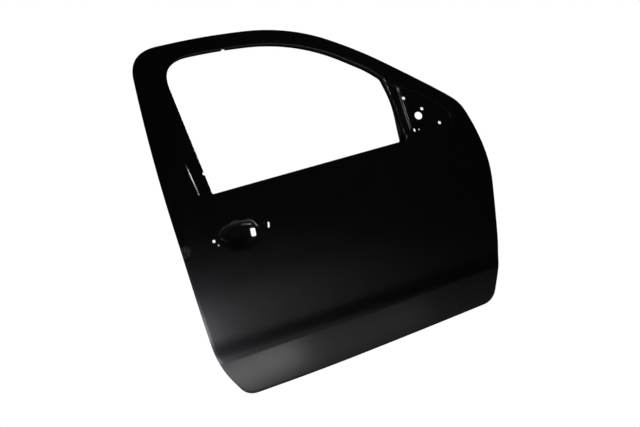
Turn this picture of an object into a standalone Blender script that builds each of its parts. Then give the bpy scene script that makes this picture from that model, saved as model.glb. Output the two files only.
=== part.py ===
"""Front door shell of a small pickup, right-hand side, bare and electro-coated.

Metres, +Z up.  +X is the front of the vehicle and -Y is outboard.  The origin is the centre of
the upper hinge seat, on the flat front face of the inner panel.

Two deep-drawn panels make the door.  The outer panel is folded over the edge of the inner panel
all round, which is the hem.  Between them lie the reinforcements, the side impact beam and the
channels that guide the window glass.  Each stamping is an open surface with Solidify for its
gauge.  Places in the side view are shares of the door's length and height.
"""
import bpy
import bmesh
import numpy as np
from math import atan2, ceil, cos, pi, radians, sin, sqrt
from mathutils import Matrix, Vector
from mathutils.geometry import delaunay_2d_cdt

# The whole door, in the side view
DOOR_LENGTH = 1.135
DOOR_HEIGHT = 1.215
HINGE_LINE_SHARE = 0.971        # of the length, from the rear edge to the hinge face
HINGE_HEIGHT_SHARE = 0.4543     # of the height, from the bottom edge to the upper hinge

# Gauges, and the gap between sheets that lie on each other
SKIN_GAUGE = 0.0008
INNER_GAUGE = 0.0009
BRACE_GAUGE = 0.0016
LIGHT_GAUGE = 0.0012
FIT_GAP = 0.0003
SEAT_GAP = 0.0008               # where one curved sheet lies behind another

# Section of the skin
SKIN_REACH = 0.078              # from the hinge centre out to the fullest line of the skin
PLAN_RADIUS = 6.5
LOWER_RADIUS = 3.0
FULLEST_SHARES = (0.425, 0.314)
LEAN_TOP_SHARE = 0.759
LEAN_SHARE = 0.36               # how far the window frame leans in for each metre of rise
SWAGE_DEPTH = 0.011
SWAGE_TOP_SHARES = (0.189, 0.130)     # rear and front heights of the swage's soft upper edge
CREST_SHARES = (0.1226, 0.1045)       # rear and front heights of its sharp lower edge
SWAGE_GUIDE_SHARES = (0, 0.5, 1)      # of the way from its upper edge to its lower one
TURN_UNDER_RADIUS = 0.5
TURN_UNDER_SHARE = 0.02
SHOULDER_HEIGHT = 0.0022
SHOULDER_WIDTH = 0.030
SHOULDER_SHARES = (0.431, 0.452, 0.50)  # rear height, front height, and where it fades out

# Outlines: share of the length, share of the height, and how far the corner is rounded
OUTLINE_SHARES = (
    (0.870, 0.003, 0.51), (0.932, 0.121, 1.00), (1.003, 0.380, 1.00), (0.995, 0.492, 1.00),
    (0.978, 0.580, 1.00), (0.934, 0.627, 1.00), (0.743, 0.812, 1.00), (0.611, 0.909, 1.00),
    (0.483, 0.960, 1.00), (0.291, 0.990, 1.00), (0.063, 1.007, 0.79), (0.031, 0.785, 1.00),
    (0.011, 0.582, 1.00), (0.002, 0.302, 1.00), (0.001, 0.109, 1.00), (0.056, 0.004, 0.53),
    (0.282, 0.000, 1.00))
LOWER_SEAT_SHARE = 0.909
WALL_SHARES = (
    (0.846, 0.016, 0.50), (LOWER_SEAT_SHARE, 0.092, 0.30), (LOWER_SEAT_SHARE, 0.220, 0.25),
    (HINGE_LINE_SHARE, 0.403, 0.25), (HINGE_LINE_SHARE, 0.505, 0.25), (0.945, 0.560, 1.00),
    (0.911, 0.616, 1.00), (0.740, 0.796, 1.00), (0.608, 0.891, 1.00), (0.479, 0.944, 1.00),
    (0.288, 0.974, 1.00), (0.079, 0.991, 0.79), (0.048, 0.771, 1.00), (0.030, 0.578, 0.60),
    (0.023, 0.505, 0.25), (0.023, 0.320, 0.25), (0.019, 0.250, 1.00), (0.019, 0.109, 1.00),
    (0.068, 0.017, 0.53), (0.284, 0.015, 1.00))
WINDOW_SHARES = (
    (0.762, 0.5233, 0.15), (0.7785, 0.630, 1.00), (0.7785, 0.718, 0.50), (0.739, 0.755, 1.00),
    (0.624, 0.852, 1.00), (0.489, 0.913, 1.00), (0.332, 0.939, 1.00), (0.142, 0.955, 1.00),
    (0.143, 0.770, 1.00), (0.146, 0.550, 0.05))
TRIM_SHARES = (
    (0.834, 0.043, 0.40), (0.885, 0.092, 0.40), (0.885, 0.232, 0.40), (0.943, 0.397, 0.40),
    (0.943, 0.479, 0.40), (0.883, 0.481, 0.60), (0.090, 0.512, 0.40), (0.055, 0.479, 0.60),
    (0.050, 0.109, 0.40), (0.081, 0.043, 0.40))

# Sampling of outlines and surfaces
OUTLINE_STEP = 0.062
WINDOW_STEP = 0.070
SURFACE_STEPS = (0.090, 0.045)  # along the door and up it
DETAIL_STEP = 0.032
TURN_STEP = radians(26)
EDGE_CLEAR = 0.006
MERGE = 0.0001
PROBE = 0.001

# Hem, flanges and walls
HEM_LEG = 0.009
HEM_FLANGE = 0.0105
LIFT_OFF = 0.0025
WALL_FOOT = 0.004
WALL_TOP = 0.006
WALL_DRAFT = 0.006
WALL_FLAT_SHARE = 0.92          # of a full turn to the front or rear, where the draft starts
LAND_REACH = 0.033              # inboard face of the seal land, from the hinge centre
FRAME_DEPTH = 0.046
BLEND_SHARES = (0.556, 0.720)   # heights between which the body's depth becomes the frame's
TRIM_STEP = 0.012
TRIM_WALL = 0.008
WINDOW_FOLD = 0.003
WINDOW_FLANGE = 0.018
BELT_LEG = 0.016
JAMB_FOLD = 0.005
BELT_RETURN = 0.018
CORNER_START = 0.006            # above the sill, where its fold starts to turn into the flange
CORNER_BLEND = 0.030

# Pressings in the skin: depth, width of the pressed wall, and outline
HANDLE_DEPTH = 0.019
HANDLE_WALL = 0.006
HANDLE_FOOT = 0.030
HANDLE_FOOT_SHARE = 0.410
BOWL_SHARES = (
    (0.138, 0.393, 0.80), (0.196, 0.378, 1.00), (0.238, 0.397, 0.60), (0.243, 0.430, 0.60),
    (0.227, 0.450, 0.70), (0.182, 0.459, 1.00), (0.143, 0.455, 1.00), (0.116, 0.436, 0.70))
POST_DEPTH = 0.005
POST_WALL = 0.004
POST_SHARES = (
    (0.733, 0.524, 0.0), (0.785, 0.545, 0.2), (0.787, 0.566, 0.5), (0.799, 0.665, 0.5),
    (0.798, 0.695, 0.6), (0.780, 0.726, 0.5), (0.733, 0.736, 0.0))
PATCH_DEPTH = 0.0025
PATCH_WALL = 0.008
PATCH_FOOT = 0.030
PATCH_FOOT_SHARE = 0.560
PATCH_SHARES = (
    (0.728, 0.512, 0.00), (0.856, 0.508, 1.00), (0.931, 0.520, 0.60), (0.932, 0.566, 0.60),
    (0.885, 0.623, 1.00), (0.841, 0.659, 1.00), (0.803, 0.682, 1.00), (0.728, 0.735, 0.00))
PILLAR_DEPTH = 0.005
PILLAR_WALL = 0.005
PILLAR_FADE_SHARES = (0.690, 0.580)
PILLAR_SHARES = (
    (0.180, 0.730, 0.0), (0.104, 0.730, 0.0), (0.104, 0.676, 0.5), (0.112, 0.553, 0.2),
    (0.180, 0.551, 0.0))

# Openings of the outer panel: place, half width and half height, tilt
SLOT_HALF = (0.0092, 0.0135)
SLOT_PLACE_SHARES = (0.2203, 0.4185)
SLOT_TILT = radians(-18)
PIVOT_HALF = (0.0130, 0.0115)
PIVOT_PLACE_SHARES = (0.2605, 0.4245)
HOLE_SIDES = 12
KEY_HOLE_RADIUS = 0.005
KEY_HOLE_SHARES = (0.104, 0.429)
PIN_HOLE_RADIUS = 0.002
PIN_HOLE_SHARES = (0.113, 0.415)
WIRE_HOLE_RADIUS = 0.0155
WIRE_HOLE_SHARES = (0.828, 0.579)
MIRROR_BOLT_RADIUS = 0.0062
MIRROR_BOLT_SHARES = ((0.806, 0.640), (0.848, 0.595), (0.885, 0.541))
MIRROR_PIN_RADIUS = 0.0022
MIRROR_PIN_SHARES = ((0.812, 0.541),)
DRAIN_HALF = (0.0035, 0.0060)
DRAIN_SHARES = (0.797, 0.543)

# Openings of the inner panel
LIP_DEPTH = 0.004
LIP_FOLD = 0.003
SPEAKER_RADIUS = 0.080
SPEAKER_SHARES = (0.748, 0.154)
MAIN_HOLE_SHARES = (
    (0.620, 0.170, 0.50), (0.640, 0.300, 0.80), (0.590, 0.405, 0.60), (0.380, 0.412, 0.50),
    (0.352, 0.300, 0.80), (0.362, 0.150, 0.50))
REAR_HOLE_SHARES = (
    (0.302, 0.300, 0.60), (0.316, 0.440, 0.50), (0.230, 0.474, 0.80), (0.095, 0.470, 0.50),
    (0.085, 0.300, 0.60))
LOWER_HOLE_SHARES = (
    (0.300, 0.105, 0.60), (0.300, 0.235, 0.60), (0.095, 0.240, 0.60), (0.100, 0.105, 0.60))
SAIL_HOLE_SHARES = (
    (0.905, 0.530, 0.60), (0.905, 0.575, 0.60), (0.860, 0.625, 0.80), (0.808, 0.672, 0.50),
    (0.796, 0.600, 0.80), (0.790, 0.530, 0.40))
LOOM_HOLE_RADIUS = 0.018
LOOM_HOLE_SHARES = (0.883, 0.330)
CLIP_RADIUS = 0.004
CLIP_SHARES = (
    (0.865, 0.150), (0.869, 0.240), (0.925, 0.405), (0.925, 0.462), (0.700, 0.472),
    (0.500, 0.478), (0.340, 0.485), (0.070, 0.440), (0.066, 0.270), (0.066, 0.140),
    (0.200, 0.062), (0.420, 0.058), (0.620, 0.058))
BEAD_DEPTH = 0.005
BEAD_RADIUS = 0.013
BEAD_WALL = 0.006
BEAD_SHARES = (
    ((0.152, 0.270), (0.270, 0.268)), ((0.333, 0.160), (0.333, 0.400)),
    ((0.150, 0.078), (0.560, 0.078)), ((0.680, 0.270), (0.660, 0.430)),
    ((0.745, 0.270), (0.745, 0.430)), ((0.820, 0.300), (0.860, 0.430)))

# Hinges, check link and latch
HINGE_BOLT_SPREAD = 0.028
HINGE_BOLT_RADIUS = 0.0055
LOWER_HINGE_SHARE = 0.1645
HINGE_BRACE_SHARES = (0.118, 0.494)
BRACE_FOLD = 0.005
BRACE_FLANGE = 0.022
BRACE_OUT = 0.032
TAPPING_SIZE = (0.008, 0.036, 0.084)
TAPPED_RADIUS = 0.0043
CHECK_SHARE = 0.300
CHECK_SLOT = (0.012, 0.034)
CHECK_SIZE = (0.0025, 0.046, 0.060)
CHECK_BOLT_RADIUS = 0.0034
CHECK_BOLT_SPREAD = 0.0235
LATCH_BRACE_SHARES = (0.338, 0.492)
LATCH_PLACE_SHARE = 0.418
LATCH_OUT = 0.046
LATCH_MOUTH = (0.036, 0.024)
LATCH_BOLT_RADIUS = 0.0036
LATCH_BOLTS = ((-0.030, 0.030), (-0.030, -0.030), (0.016, 0.032))

# Side impact beam
BEAM_RADIUS = 0.0127
BEAM_WALL = 0.0026
BEAM_FRONT_SHARES = (0.865, 0.376)
BEAM_REAR_SHARES = (0.095, 0.200)
BEAM_CLEAR = 0.005
SADDLE_HALF = 0.036
SADDLE_LAP = 0.075
FOOT_REACH = 0.020
PAD_SHARES = (0.25, 0.50, 0.75)
PAD_RADIUS = 0.013

# Beltline
BELT_DROPS = (0.005, 0.019, 0.026, 0.044, 0.052, 0.066)
BELT_HAT = 0.0138
BELT_END_SHARES = (0.060, 0.890)
SILL_LAND = (0.008, 0.016, 0.020, 0.036, 0.040, 0.047)
SILL_HAT = 0.014
SILL_END_SHARES = (0.105, 0.870)

# Window channels
CHANNEL_DEPTH = 0.0125
CHANNEL_WIDTH = 0.0178
RAIL_TOP_DROP = 0.004
RAIL_BOTTOM_SHARES = (0.235, 0.392)   # rear rail past the beam's end, front rail above it
RAIL_BOW_RADIUS = 1.6
RAIL_SHARES = ((0.132, 0.123), (0.786, 0.782))
RAIL_SLOPE_SHARE = 0.05
BRIDGE_HEIGHT = 0.030
BRIDGE_LAP = 0.016
BRIDGE_RISE = 0.035

# Other stiffeners
STIFFENER_SHARES = (0.330, 0.700)
STIFFENER_DROP_SHARE = 0.395
STIFFENER_PROFILE = ((-0.034, 0.0), (-0.020, 0.0), (-0.012, 0.009), (0.012, 0.009), (0.020, 0.0),
                     (0.034, 0.0))
HANDLE_PLATE_SHARES = (
    (0.088, 0.400, 0.50), (0.088, 0.462, 0.50), (0.140, 0.482, 1.00), (0.230, 0.480, 0.80),
    (0.296, 0.462, 0.50), (0.296, 0.396, 0.50), (0.220, 0.352, 1.00), (0.130, 0.362, 0.80))
HANDLE_PLATE_CLEAR = 0.004
PIVOT_SIGHT = (0.0030, 0.0100)
PILLAR_PLATE_SHARES = (
    (0.122, 0.600, 0.40), (0.122, 0.800, 0.40), (0.112, 0.870, 0.40), (0.070, 0.870, 0.40),
    (0.060, 0.700, 0.60), (0.052, 0.600, 0.40))
MIRROR_PLATE_SHARES = (
    (0.808, 0.531, 0.30), (0.850, 0.529, 1.00), (0.911, 0.529, 0.30), (0.914, 0.563, 0.50),
    (0.880, 0.607, 1.00), (0.839, 0.645, 1.00), (0.815, 0.660, 0.60), (0.798, 0.660, 0.60),
    (0.798, 0.625, 0.60), (0.806, 0.590, 0.60))
MIRROR_PLATE_GAUGE = 0.0020
NUT_FLAT = 0.0055
NUT_HEIGHT = 0.005
NUT_BORE = 0.0026
NUT_SHARES = ((0.660, 0.130), (0.660, 0.235), (0.345, 0.430), (0.640, 0.455))

E_COAT = (0.012, 0.012, 0.014, 1.0)
MASTIC = (0.035, 0.034, 0.033, 1.0)
ZINC = (0.060, 0.060, 0.064, 1.0)


def remove_all():
    """Empties the scene."""
    for item in list(bpy.data.objects):
        bpy.data.objects.remove(item, do_unlink=True)


def new_collection(name):
    found = bpy.data.collections.new(name)
    bpy.context.scene.collection.children.link(found)
    return found


def smooth(share):
    """Eases from 0 to 1."""
    share = min(1.0, max(0.0, share))
    return share * share * (3 - 2 * share)


def mix(low, high, share):
    return low + (high - low) * share


def side_x(share):
    return (share - HINGE_LINE_SHARE) * DOOR_LENGTH


def side_z(share):
    return (share - HINGE_HEIGHT_SHARE) * DOOR_HEIGHT


def place(shares):
    """Point of the side view at shares of the length and height."""
    return Vector((side_x(shares[0]), side_z(shares[1])))


def slope_line(shares, x):
    """Height at x of a line given by its height shares at the rear and front edges."""
    return side_z(mix(shares[0], shares[1], (x - side_x(0)) / DOOR_LENGTH))


# Outlines in the side view

def add_stretch(loop, end, step):
    """Adds a straight stretch to end, divided evenly."""
    if loop:
        start, count = loop[-1], ceil((end - loop[-1]).length / step)
        loop.extend(start.lerp(end, k / count) for k in range(1, count))
    loop.append(end)


def rounded(corner_shares, step, closed=True):
    """Loop through corners, each rounded by a share of its shorter edge."""
    corners = [place(item) for item in corner_shares]
    count, loop = len(corners), []
    for i, corner in enumerate(corners):
        back, ahead = corners[i - 1] - corner, corners[(i + 1) % count] - corner
        reach = corner_shares[i][2] / 2 * min(back.length, ahead.length)
        start, end = corner + back.normalized() * reach, corner + ahead.normalized() * reach
        add_stretch(loop, start, step)
        if reach > PROBE:
            turn = pi - back.angle(ahead)
            parts = max(1, ceil(turn / TURN_STEP), round((end - start).length / step))
            for k in range(1, parts + 1):
                t = k / parts
                loop.append(start * (1 - t) ** 2 + corner * (2 * t * (1 - t)) + end * t * t)
    if closed:
        add_stretch(loop, loop[0].copy(), step)
    return [p for i, p in enumerate(loop) if (p - loop[i - 1]).length > PROBE]


def loop_normals(loop, closed=True):
    """Normals to the left of the way round, lengthened at corners so that offsets stay parallel."""
    normals = []
    for i, point in enumerate(loop):
        before = loop[i - 1] if closed or i else point
        after = loop[(i + 1) % len(loop)] if closed or i + 1 < len(loop) else point
        sides = [Vector((-edge.y, edge.x)).normalized()
                 for edge in (point - before, after - point) if edge.length > 0]
        total = sides[0] + sides[-1]
        normals.append(total / max(0.5, 1 + sides[0].dot(sides[-1])))
    return normals


def inset(loop, distance, closed=True):
    return [p + n * distance for p, n in zip(loop, loop_normals(loop, closed))]


def circle(centre, radius, sides=HOLE_SIDES):
    return [centre + Vector((radius * cos(2 * pi * k / sides), radius * sin(2 * pi * k / sides)))
            for k in range(sides)]


def tilted_box(centre, half, tilt):
    """Slot outline with cut corners."""
    turn = Matrix.Rotation(tilt, 2)
    cut = min(half) / 2
    points = [(half[0], half[1] - cut), (half[0] - cut, half[1]), (cut - half[0], half[1]),
              (-half[0], half[1] - cut), (-half[0], cut - half[1]), (cut - half[0], -half[1]),
              (half[0] - cut, -half[1]), (half[0], cut - half[1])]
    return [centre + turn @ Vector(point) for point in points]


def capsule(start, end, radius, sides=3):
    """Outline of a bead: a straight stretch with round ends."""
    way = end - start
    angle = atan2(way.y, way.x)
    loop = []
    for centre, turn in ((end, angle - pi / 2), (start, angle + pi / 2)):
        for k in range(sides + 1):
            a = turn + pi * k / sides
            loop.append(centre + Vector((cos(a), sin(a))) * radius)
    return loop


def signed(loop, point):
    """Distance from the point to the loop, positive inside."""
    a = np.array([tuple(p) for p in loop])
    b = np.roll(a, -1, 0)
    p = np.array(tuple(point))
    edge = b - a
    t = np.clip(((p - a) * edge).sum(1) / (edge * edge).sum(1), 0, 1)
    distance = float(np.sqrt((((a + edge * t[:, None]) - p) ** 2).sum(1).min()))
    crosses = (a[:, 1] > p[1]) != (b[:, 1] > p[1])
    rise = np.where(crosses, b[:, 1] - a[:, 1], 1)
    hits = crosses & (p[0] < a[:, 0] + (p[1] - a[:, 1]) / rise * edge[:, 0])
    return distance if hits.sum() % 2 else -distance


# The skin's surface

def swage_lines(x):
    return slope_line(SWAGE_TOP_SHARES, x), slope_line(CREST_SHARES, x)


def base_y(x, z):
    """Skin without its pressings: barrel section, leaning frame, swage and turned-under foot."""
    fullest = side_z(FULLEST_SHARES[1])
    rise = side_z(LEAN_TOP_SHARE) - fullest
    t = min(1.0, max(0.0, (z - fullest) / rise))
    y = LEAN_SHARE * (rise * (t ** 3 - t ** 4 / 2) + max(0.0, z - fullest - rise)) - SKIN_REACH
    y += max(0.0, fullest - z) ** 2 / (2 * LOWER_RADIUS)
    y += (x - side_x(FULLEST_SHARES[0])) ** 2 / (2 * PLAN_RADIUS)
    top, crest = swage_lines(x)
    y -= SWAGE_DEPTH * min(1.0, max(0.0, (top - z) / (top - crest))) ** 2
    under = max(0.0, crest - z)
    y += TURN_UNDER_SHARE * under + under * under / (2 * TURN_UNDER_RADIUS)
    line = slope_line(SHOULDER_SHARES, x)
    fade = smooth((x - side_x(SHOULDER_SHARES[2])) / (DOOR_LENGTH * SHOULDER_SHARES[2]))
    away = (z - line) / SHOULDER_WIDTH
    return y - SHOULDER_HEIGHT * fade * max(0.0, 1 - abs(away)) ** 2


def inside_y(x, z, depth):
    """Surface at this depth inside the skin, measured square to the steeper side of any crease."""
    here = base_y(x, z)
    gx = max(abs(base_y(x + side * PROBE, z) - here) for side in (-1, 1)) / PROBE
    gz = max(abs(base_y(x, z + side * PROBE) - here) for side in (-1, 1)) / PROBE
    return here + depth * sqrt(1 + gx * gx + gz * gz)


class Pressing:
    """A place pressed into the skin, with a sloping wall of a given width."""

    def __init__(self, shares, depth, wall, foot=None, foot_share=None, fade_shares=None):
        self.loop = rounded(shares, DETAIL_STEP)
        self.depth, self.wall, self.foot = depth, wall, foot
        self.foot_z = side_z(foot_share) if foot else 0.0
        self.low = min(p.y for p in self.loop)
        self.fade = [side_z(share) for share in fade_shares] if fade_shares else None

    def wall_at(self, point):
        if not self.foot:
            return self.wall
        return mix(self.wall, self.foot, smooth((self.foot_z - point.y) / (self.foot_z - self.low)))

    def floor(self):
        return [p + n * self.wall_at(p) for p, n in zip(self.loop, loop_normals(self.loop))]

    def depth_at(self, point):
        depth = self.depth * smooth(signed(self.loop, point) / self.wall_at(point))
        if self.fade:
            depth *= smooth((self.fade[0] - point.y) / (self.fade[0] - self.fade[1]))
        return depth


def pressings():
    """The places pressed into the skin."""
    return {
        "bowl": Pressing(BOWL_SHARES, HANDLE_DEPTH, HANDLE_WALL, HANDLE_FOOT, HANDLE_FOOT_SHARE),
        "post": Pressing(POST_SHARES, POST_DEPTH, POST_WALL),
        "patch": Pressing(PATCH_SHARES, PATCH_DEPTH, PATCH_WALL, PATCH_FOOT, PATCH_FOOT_SHARE),
        "pillar": Pressing(PILLAR_SHARES, PILLAR_DEPTH, PILLAR_WALL,
                           fade_shares=PILLAR_FADE_SHARES)}


def relief(pressed, x, z):
    point = Vector((x, z))
    return sum(item.depth_at(point) for item in pressed.values())


def land_y(x, z):
    """Inboard face of the inner panel's seal land: flat on the body, parallel to the frame above."""
    low, high = (side_z(share) for share in BLEND_SHARES)
    return mix(LAND_REACH, inside_y(x, z, FRAME_DEPTH), smooth((z - low) / (high - low)))


def sill_z(x):
    """Height of the window sill at x."""
    front, rear = place(WINDOW_SHARES[0]), place(WINDOW_SHARES[-1])
    return mix(rear.y, front.y, (x - rear.x) / (front.x - rear.x))


# Meshes

def ring(bm, loop, lift):
    """Vertices over a side-view loop; lift gives y."""
    return [bm.verts.new((p.x, lift(p.x, p.y), p.y)) for p in loop]


def loft(bm, rings, closed=True):
    """Faces between rings of equal length, all split the same way so that nested sheets match."""
    for low, high in zip(rings, rings[1:]):
        count = len(low)
        for i in range(count if closed else count - 1):
            j = (i + 1) % count
            bm.faces.new((low[i], low[j], high[j]))
            bm.faces.new((low[i], high[j], high[i]))


def room(rims, point):
    """Distance from the point to the nearest rim, less the clearance; negative off the sheet."""
    near = min([signed(rims[0], point)] + [-signed(hole, point) for hole in rims[1:]])
    return near - EDGE_CLEAR


def last_clear(rims, inside, outside):
    """Where the way from a clear point to one that isn't comes too near a rim."""
    for _ in range(8):
        middle = (inside + outside) / 2
        if room(rims, middle) > 0:
            inside = middle
        else:
            outside = middle
    return inside


def kept_runs(line, rims, closed):
    """Runs of a guide line that stay clear of the rims, each led up to the rim it meets."""
    points = line + line[:1] if closed else line
    clear = [room(rims, point) > 0 for point in points]
    run, runs = [], []
    for i, point in enumerate(points):
        if clear[i]:
            if i and not clear[i - 1]:
                run.append(last_clear(rims, point, points[i - 1]))
            run.append(point)
        elif run:
            run.append(last_clear(rims, points[i - 1], point))
            runs.append(run)
            run = []
    spaced = [[p for i, p in enumerate(item) if not i or (p - item[i - 1]).length > PROBE]
              for item in runs + [run]]
    return [item for item in spaced if len(item) > 1]


def grid(rims, lines, steps):
    """Points of a regular grid that stay clear of rims and lines."""
    outer = rims[0]
    fixed = np.array([tuple(p) for loop in rims + lines for p in loop])
    xs, zs = [p.x for p in outer], [p.y for p in outer]
    clear = steps[1] / 2
    points = []
    for i in range(1, ceil((max(xs) - min(xs)) / steps[0])):
        for k in range(1, ceil((max(zs) - min(zs)) / steps[1])):
            point = Vector((min(xs) + i * steps[0], min(zs) + k * steps[1]))
            near = np.sqrt(((fixed - np.array(tuple(point))) ** 2).sum(1).min())
            if near > clear and signed(outer, point) > clear:
                if all(signed(hole, point) < -clear for hole in rims[1:]):
                    points.append(point)
    return points


def fill(bm, rims, lift, lines=(), steps=None):
    """Triangulates between rims of vertices in the side view, along guide lines and a grid."""
    loops = [[Vector((v.co.x, v.co.z)) for v in rim] for rim in rims]
    known = [v for rim in rims for v in rim]
    flat, edges = [], []
    for loop in loops:
        first = len(flat)
        flat += loop
        edges += [(first + i, first + (i + 1) % len(loop)) for i in range(len(loop))]
    runs = [run for line, closed in lines for run in kept_runs(line, loops, closed)]
    for run in runs:
        first = len(flat)
        flat += run
        edges += [(first + i, first + i + 1) for i in range(len(run) - 1)]
    if steps:
        flat += grid(loops, runs, steps)
    places, _, faces, origins, _, _ = delaunay_2d_cdt(flat, edges, [], 0, PROBE * MERGE)
    verts = []
    for spot, ids in zip(places, origins):
        held = [i for i in ids if i < len(known)]
        verts.append(known[held[0]] if held else spot)
    for face in faces:
        centre = [sum(places[i][k] for i in face) / len(face) for k in (0, 1)]
        if signed(loops[0], centre) > 0 and all(signed(hole, centre) < 0 for hole in loops[1:]):
            for i in face:
                if isinstance(verts[i], Vector):
                    verts[i] = bm.verts.new((verts[i].x, lift(verts[i].x, verts[i].y), verts[i].y))
            bm.faces.new([verts[i] for i in face])


def paint(name, colour, roughness, metallic=0.0):
    """Principled material of one piece."""
    made = bpy.data.materials.new(name)
    made.use_nodes = True
    shader = made.node_tree.nodes["Principled BSDF"]
    shader.inputs["Base Color"].default_value = colour
    shader.inputs["Roughness"].default_value = roughness
    shader.inputs["Metallic"].default_value = metallic
    return made


def add_object(name, bm, collection, colour=E_COAT, roughness=0.34):
    mesh = bpy.data.meshes.new(name)
    bm.to_mesh(mesh)
    bm.free()
    made = bpy.data.objects.new(name, mesh)
    collection.objects.link(made)
    mesh.materials.append(paint(name + "_coat", colour, roughness))
    return made


def stamping(name, bm, gauge, facing, collection, roughness=0.34):
    """Sheet object: the open surface faces `facing`, and the gauge goes on behind it."""
    bmesh.ops.remove_doubles(bm, verts=bm.verts, dist=MERGE)
    bmesh.ops.recalc_face_normals(bm, faces=bm.faces)
    widest = max(bm.faces, key=lambda face: face.calc_area() * abs(face.normal.dot(facing)))
    if widest.normal.dot(facing) < 0:
        bmesh.ops.reverse_faces(bm, faces=bm.faces)
    made = add_object(name, bm, collection, roughness=roughness)
    wall = made.modifiers.new("gauge", "SOLIDIFY")
    wall.thickness = gauge
    wall.offset = -1
    wall.use_even_offset = True
    made.data.shade_smooth()
    return made


def solid(name, bm, collection, colour=E_COAT, roughness=0.34):
    bmesh.ops.recalc_face_normals(bm, faces=bm.faces)
    return add_object(name, bm, collection, colour, roughness)


def add_cutter(name, bm, collection):
    """Cutting body, kept out of the render."""
    bmesh.ops.recalc_face_normals(bm, faces=bm.faces)
    mesh = bpy.data.meshes.new(name)
    bm.to_mesh(mesh)
    bm.free()
    made = bpy.data.objects.new(name, mesh)
    collection.objects.link(made)
    made.hide_render = True
    made.display_type = "WIRE"
    return made


def cut(target, cutter):
    made = target.modifiers.new(cutter.name, "BOOLEAN")
    made.operation = "DIFFERENCE"
    made.object = cutter


def bar(bm, centre, radius, length, axis, sides=HOLE_SIDES):
    """Capped cylinder along an axis, with a facet on top and no corner."""
    turn = Vector((0, 0, 1)).rotation_difference(Vector(axis)).to_matrix().to_4x4()
    turn = turn @ Matrix.Rotation(pi / sides, 4, "Z")
    bmesh.ops.create_cone(bm, cap_ends=True, segments=sides, radius1=radius, radius2=radius,
                          depth=length, matrix=Matrix.Translation(centre) @ turn)


def block(bm, centre, size, turn=None):
    """Box of a size, turned about its centre."""
    matrix = Matrix.Translation(centre) @ (turn or Matrix()) @ Matrix.Diagonal((*size, 1))
    bmesh.ops.create_cube(bm, size=1, matrix=matrix)


# The two panels

def crossing_points(loop, share, reach):
    """The loop with a point added wherever its offset line crosses a line of the swage."""
    made = []
    flange = inset(loop, reach)
    for i, point in enumerate(loop):
        after = loop[(i + 1) % len(loop)]
        made.append(point)
        ends = flange[i], flange[(i + 1) % len(loop)]
        here, there = (p.y - mix(*swage_lines(p.x), share) for p in ends)
        if here * there < 0:
            spot = point.lerp(after, here / (here - there))
            if min((spot - point).length, (spot - after).length) > EDGE_CLEAR:
                made.append(spot)
            elif (spot - point).length < (spot - after).length:
                made[-1] = spot
            else:
                after.xy = spot
    return made


def swaged(corner_shares, reach):
    """Outline with points where the sheet at this offset crosses the swage."""
    loop = rounded(corner_shares, OUTLINE_STEP)
    for share in SWAGE_GUIDE_SHARES:
        loop = crossing_points(loop, share, reach)
    return loop


def frame_weight(point):
    """0 along the sill, 1 on the window frame."""
    return smooth((point.y - sill_z(point.x) - CORNER_START) / CORNER_BLEND)


def swage_guides(outline):
    """Guide lines along the swage's edges and half way between them."""
    low, high = min(p.x for p in outline), max(p.x for p in outline)
    count = ceil((high - low) / OUTLINE_STEP)
    lines = []
    for share in SWAGE_GUIDE_SHARES:
        line = []
        for k in range(count + 1):
            x = mix(low, high, k / count)
            top, crest = swage_lines(x)
            line.append(Vector((x, mix(top, crest, share))))
        lines.append((line, False))
    return lines


def hem_rings(bm, outline):
    """Folded edge of the skin, from the end of its return leg round to the flange line."""
    radius = FIT_GAP + SKIN_GAUGE + INNER_GAUGE / 2
    profile = [(HEM_LEG, 2 * radius)]
    profile += [(radius * (1 - sin(a)), radius * (1 - cos(a)))
                for a in (pi, 2 * pi / 3, pi / 3, 0)]
    profile.append((HEM_FLANGE, 0.0))
    return [ring(bm, inset(outline, distance), lambda x, z, d=depth: inside_y(x, z, d))
            for distance, depth in profile]


def window_rings(bm, window, pressed):
    """Edge of the skin round the window: a flange on the frame and a fold down at the belt."""
    r, half = WINDOW_FOLD, WINDOW_FOLD * (1 - sin(pi / 4))
    belt = ((r, 0), (half, half), (0, r), (r, 2 * r), (BELT_LEG, 2 * r))
    frame = ((r, 0), (half, half), (0, r), (0, (r + WINDOW_FLANGE) / 2), (0, WINDOW_FLANGE))
    rings = []
    for (low_out, low_in), (high_out, high_in) in zip(belt, frame):
        row = []
        for point, normal in zip(window, loop_normals(window)):
            weight = frame_weight(point)
            spot = point - normal * mix(low_out, high_out, weight)
            depth = mix(low_in, high_in, weight)
            y = inside_y(spot.x, spot.y, depth)
            y += relief(pressed, spot.x, spot.y) * (1 - smooth(depth / (2 * r)))
            row.append(bm.verts.new((spot.x, y, spot.y)))
        rings.append(row)
    return rings


def skin_holes():
    loops = [tilted_box(place(SLOT_PLACE_SHARES), SLOT_HALF, SLOT_TILT),
             tilted_box(place(PIVOT_PLACE_SHARES), PIVOT_HALF, SLOT_TILT),
             circle(place(KEY_HOLE_SHARES), KEY_HOLE_RADIUS, 8),
             circle(place(PIN_HOLE_SHARES), PIN_HOLE_RADIUS, 6),
             tilted_box(place(DRAIN_SHARES), DRAIN_HALF, 0.0)]
    loops += [circle(place(item), MIRROR_PIN_RADIUS, 6) for item in MIRROR_PIN_SHARES]
    return loops + mirror_holes(0.0)


def mirror_holes(extra):
    """Wiring hole and bolt holes that the skin and the plate behind it share."""
    loops = [circle(place(WIRE_HOLE_SHARES), WIRE_HOLE_RADIUS + extra)]
    return loops + [circle(place(item), MIRROR_BOLT_RADIUS + extra, 8)
                    for item in MIRROR_BOLT_SHARES]


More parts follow.
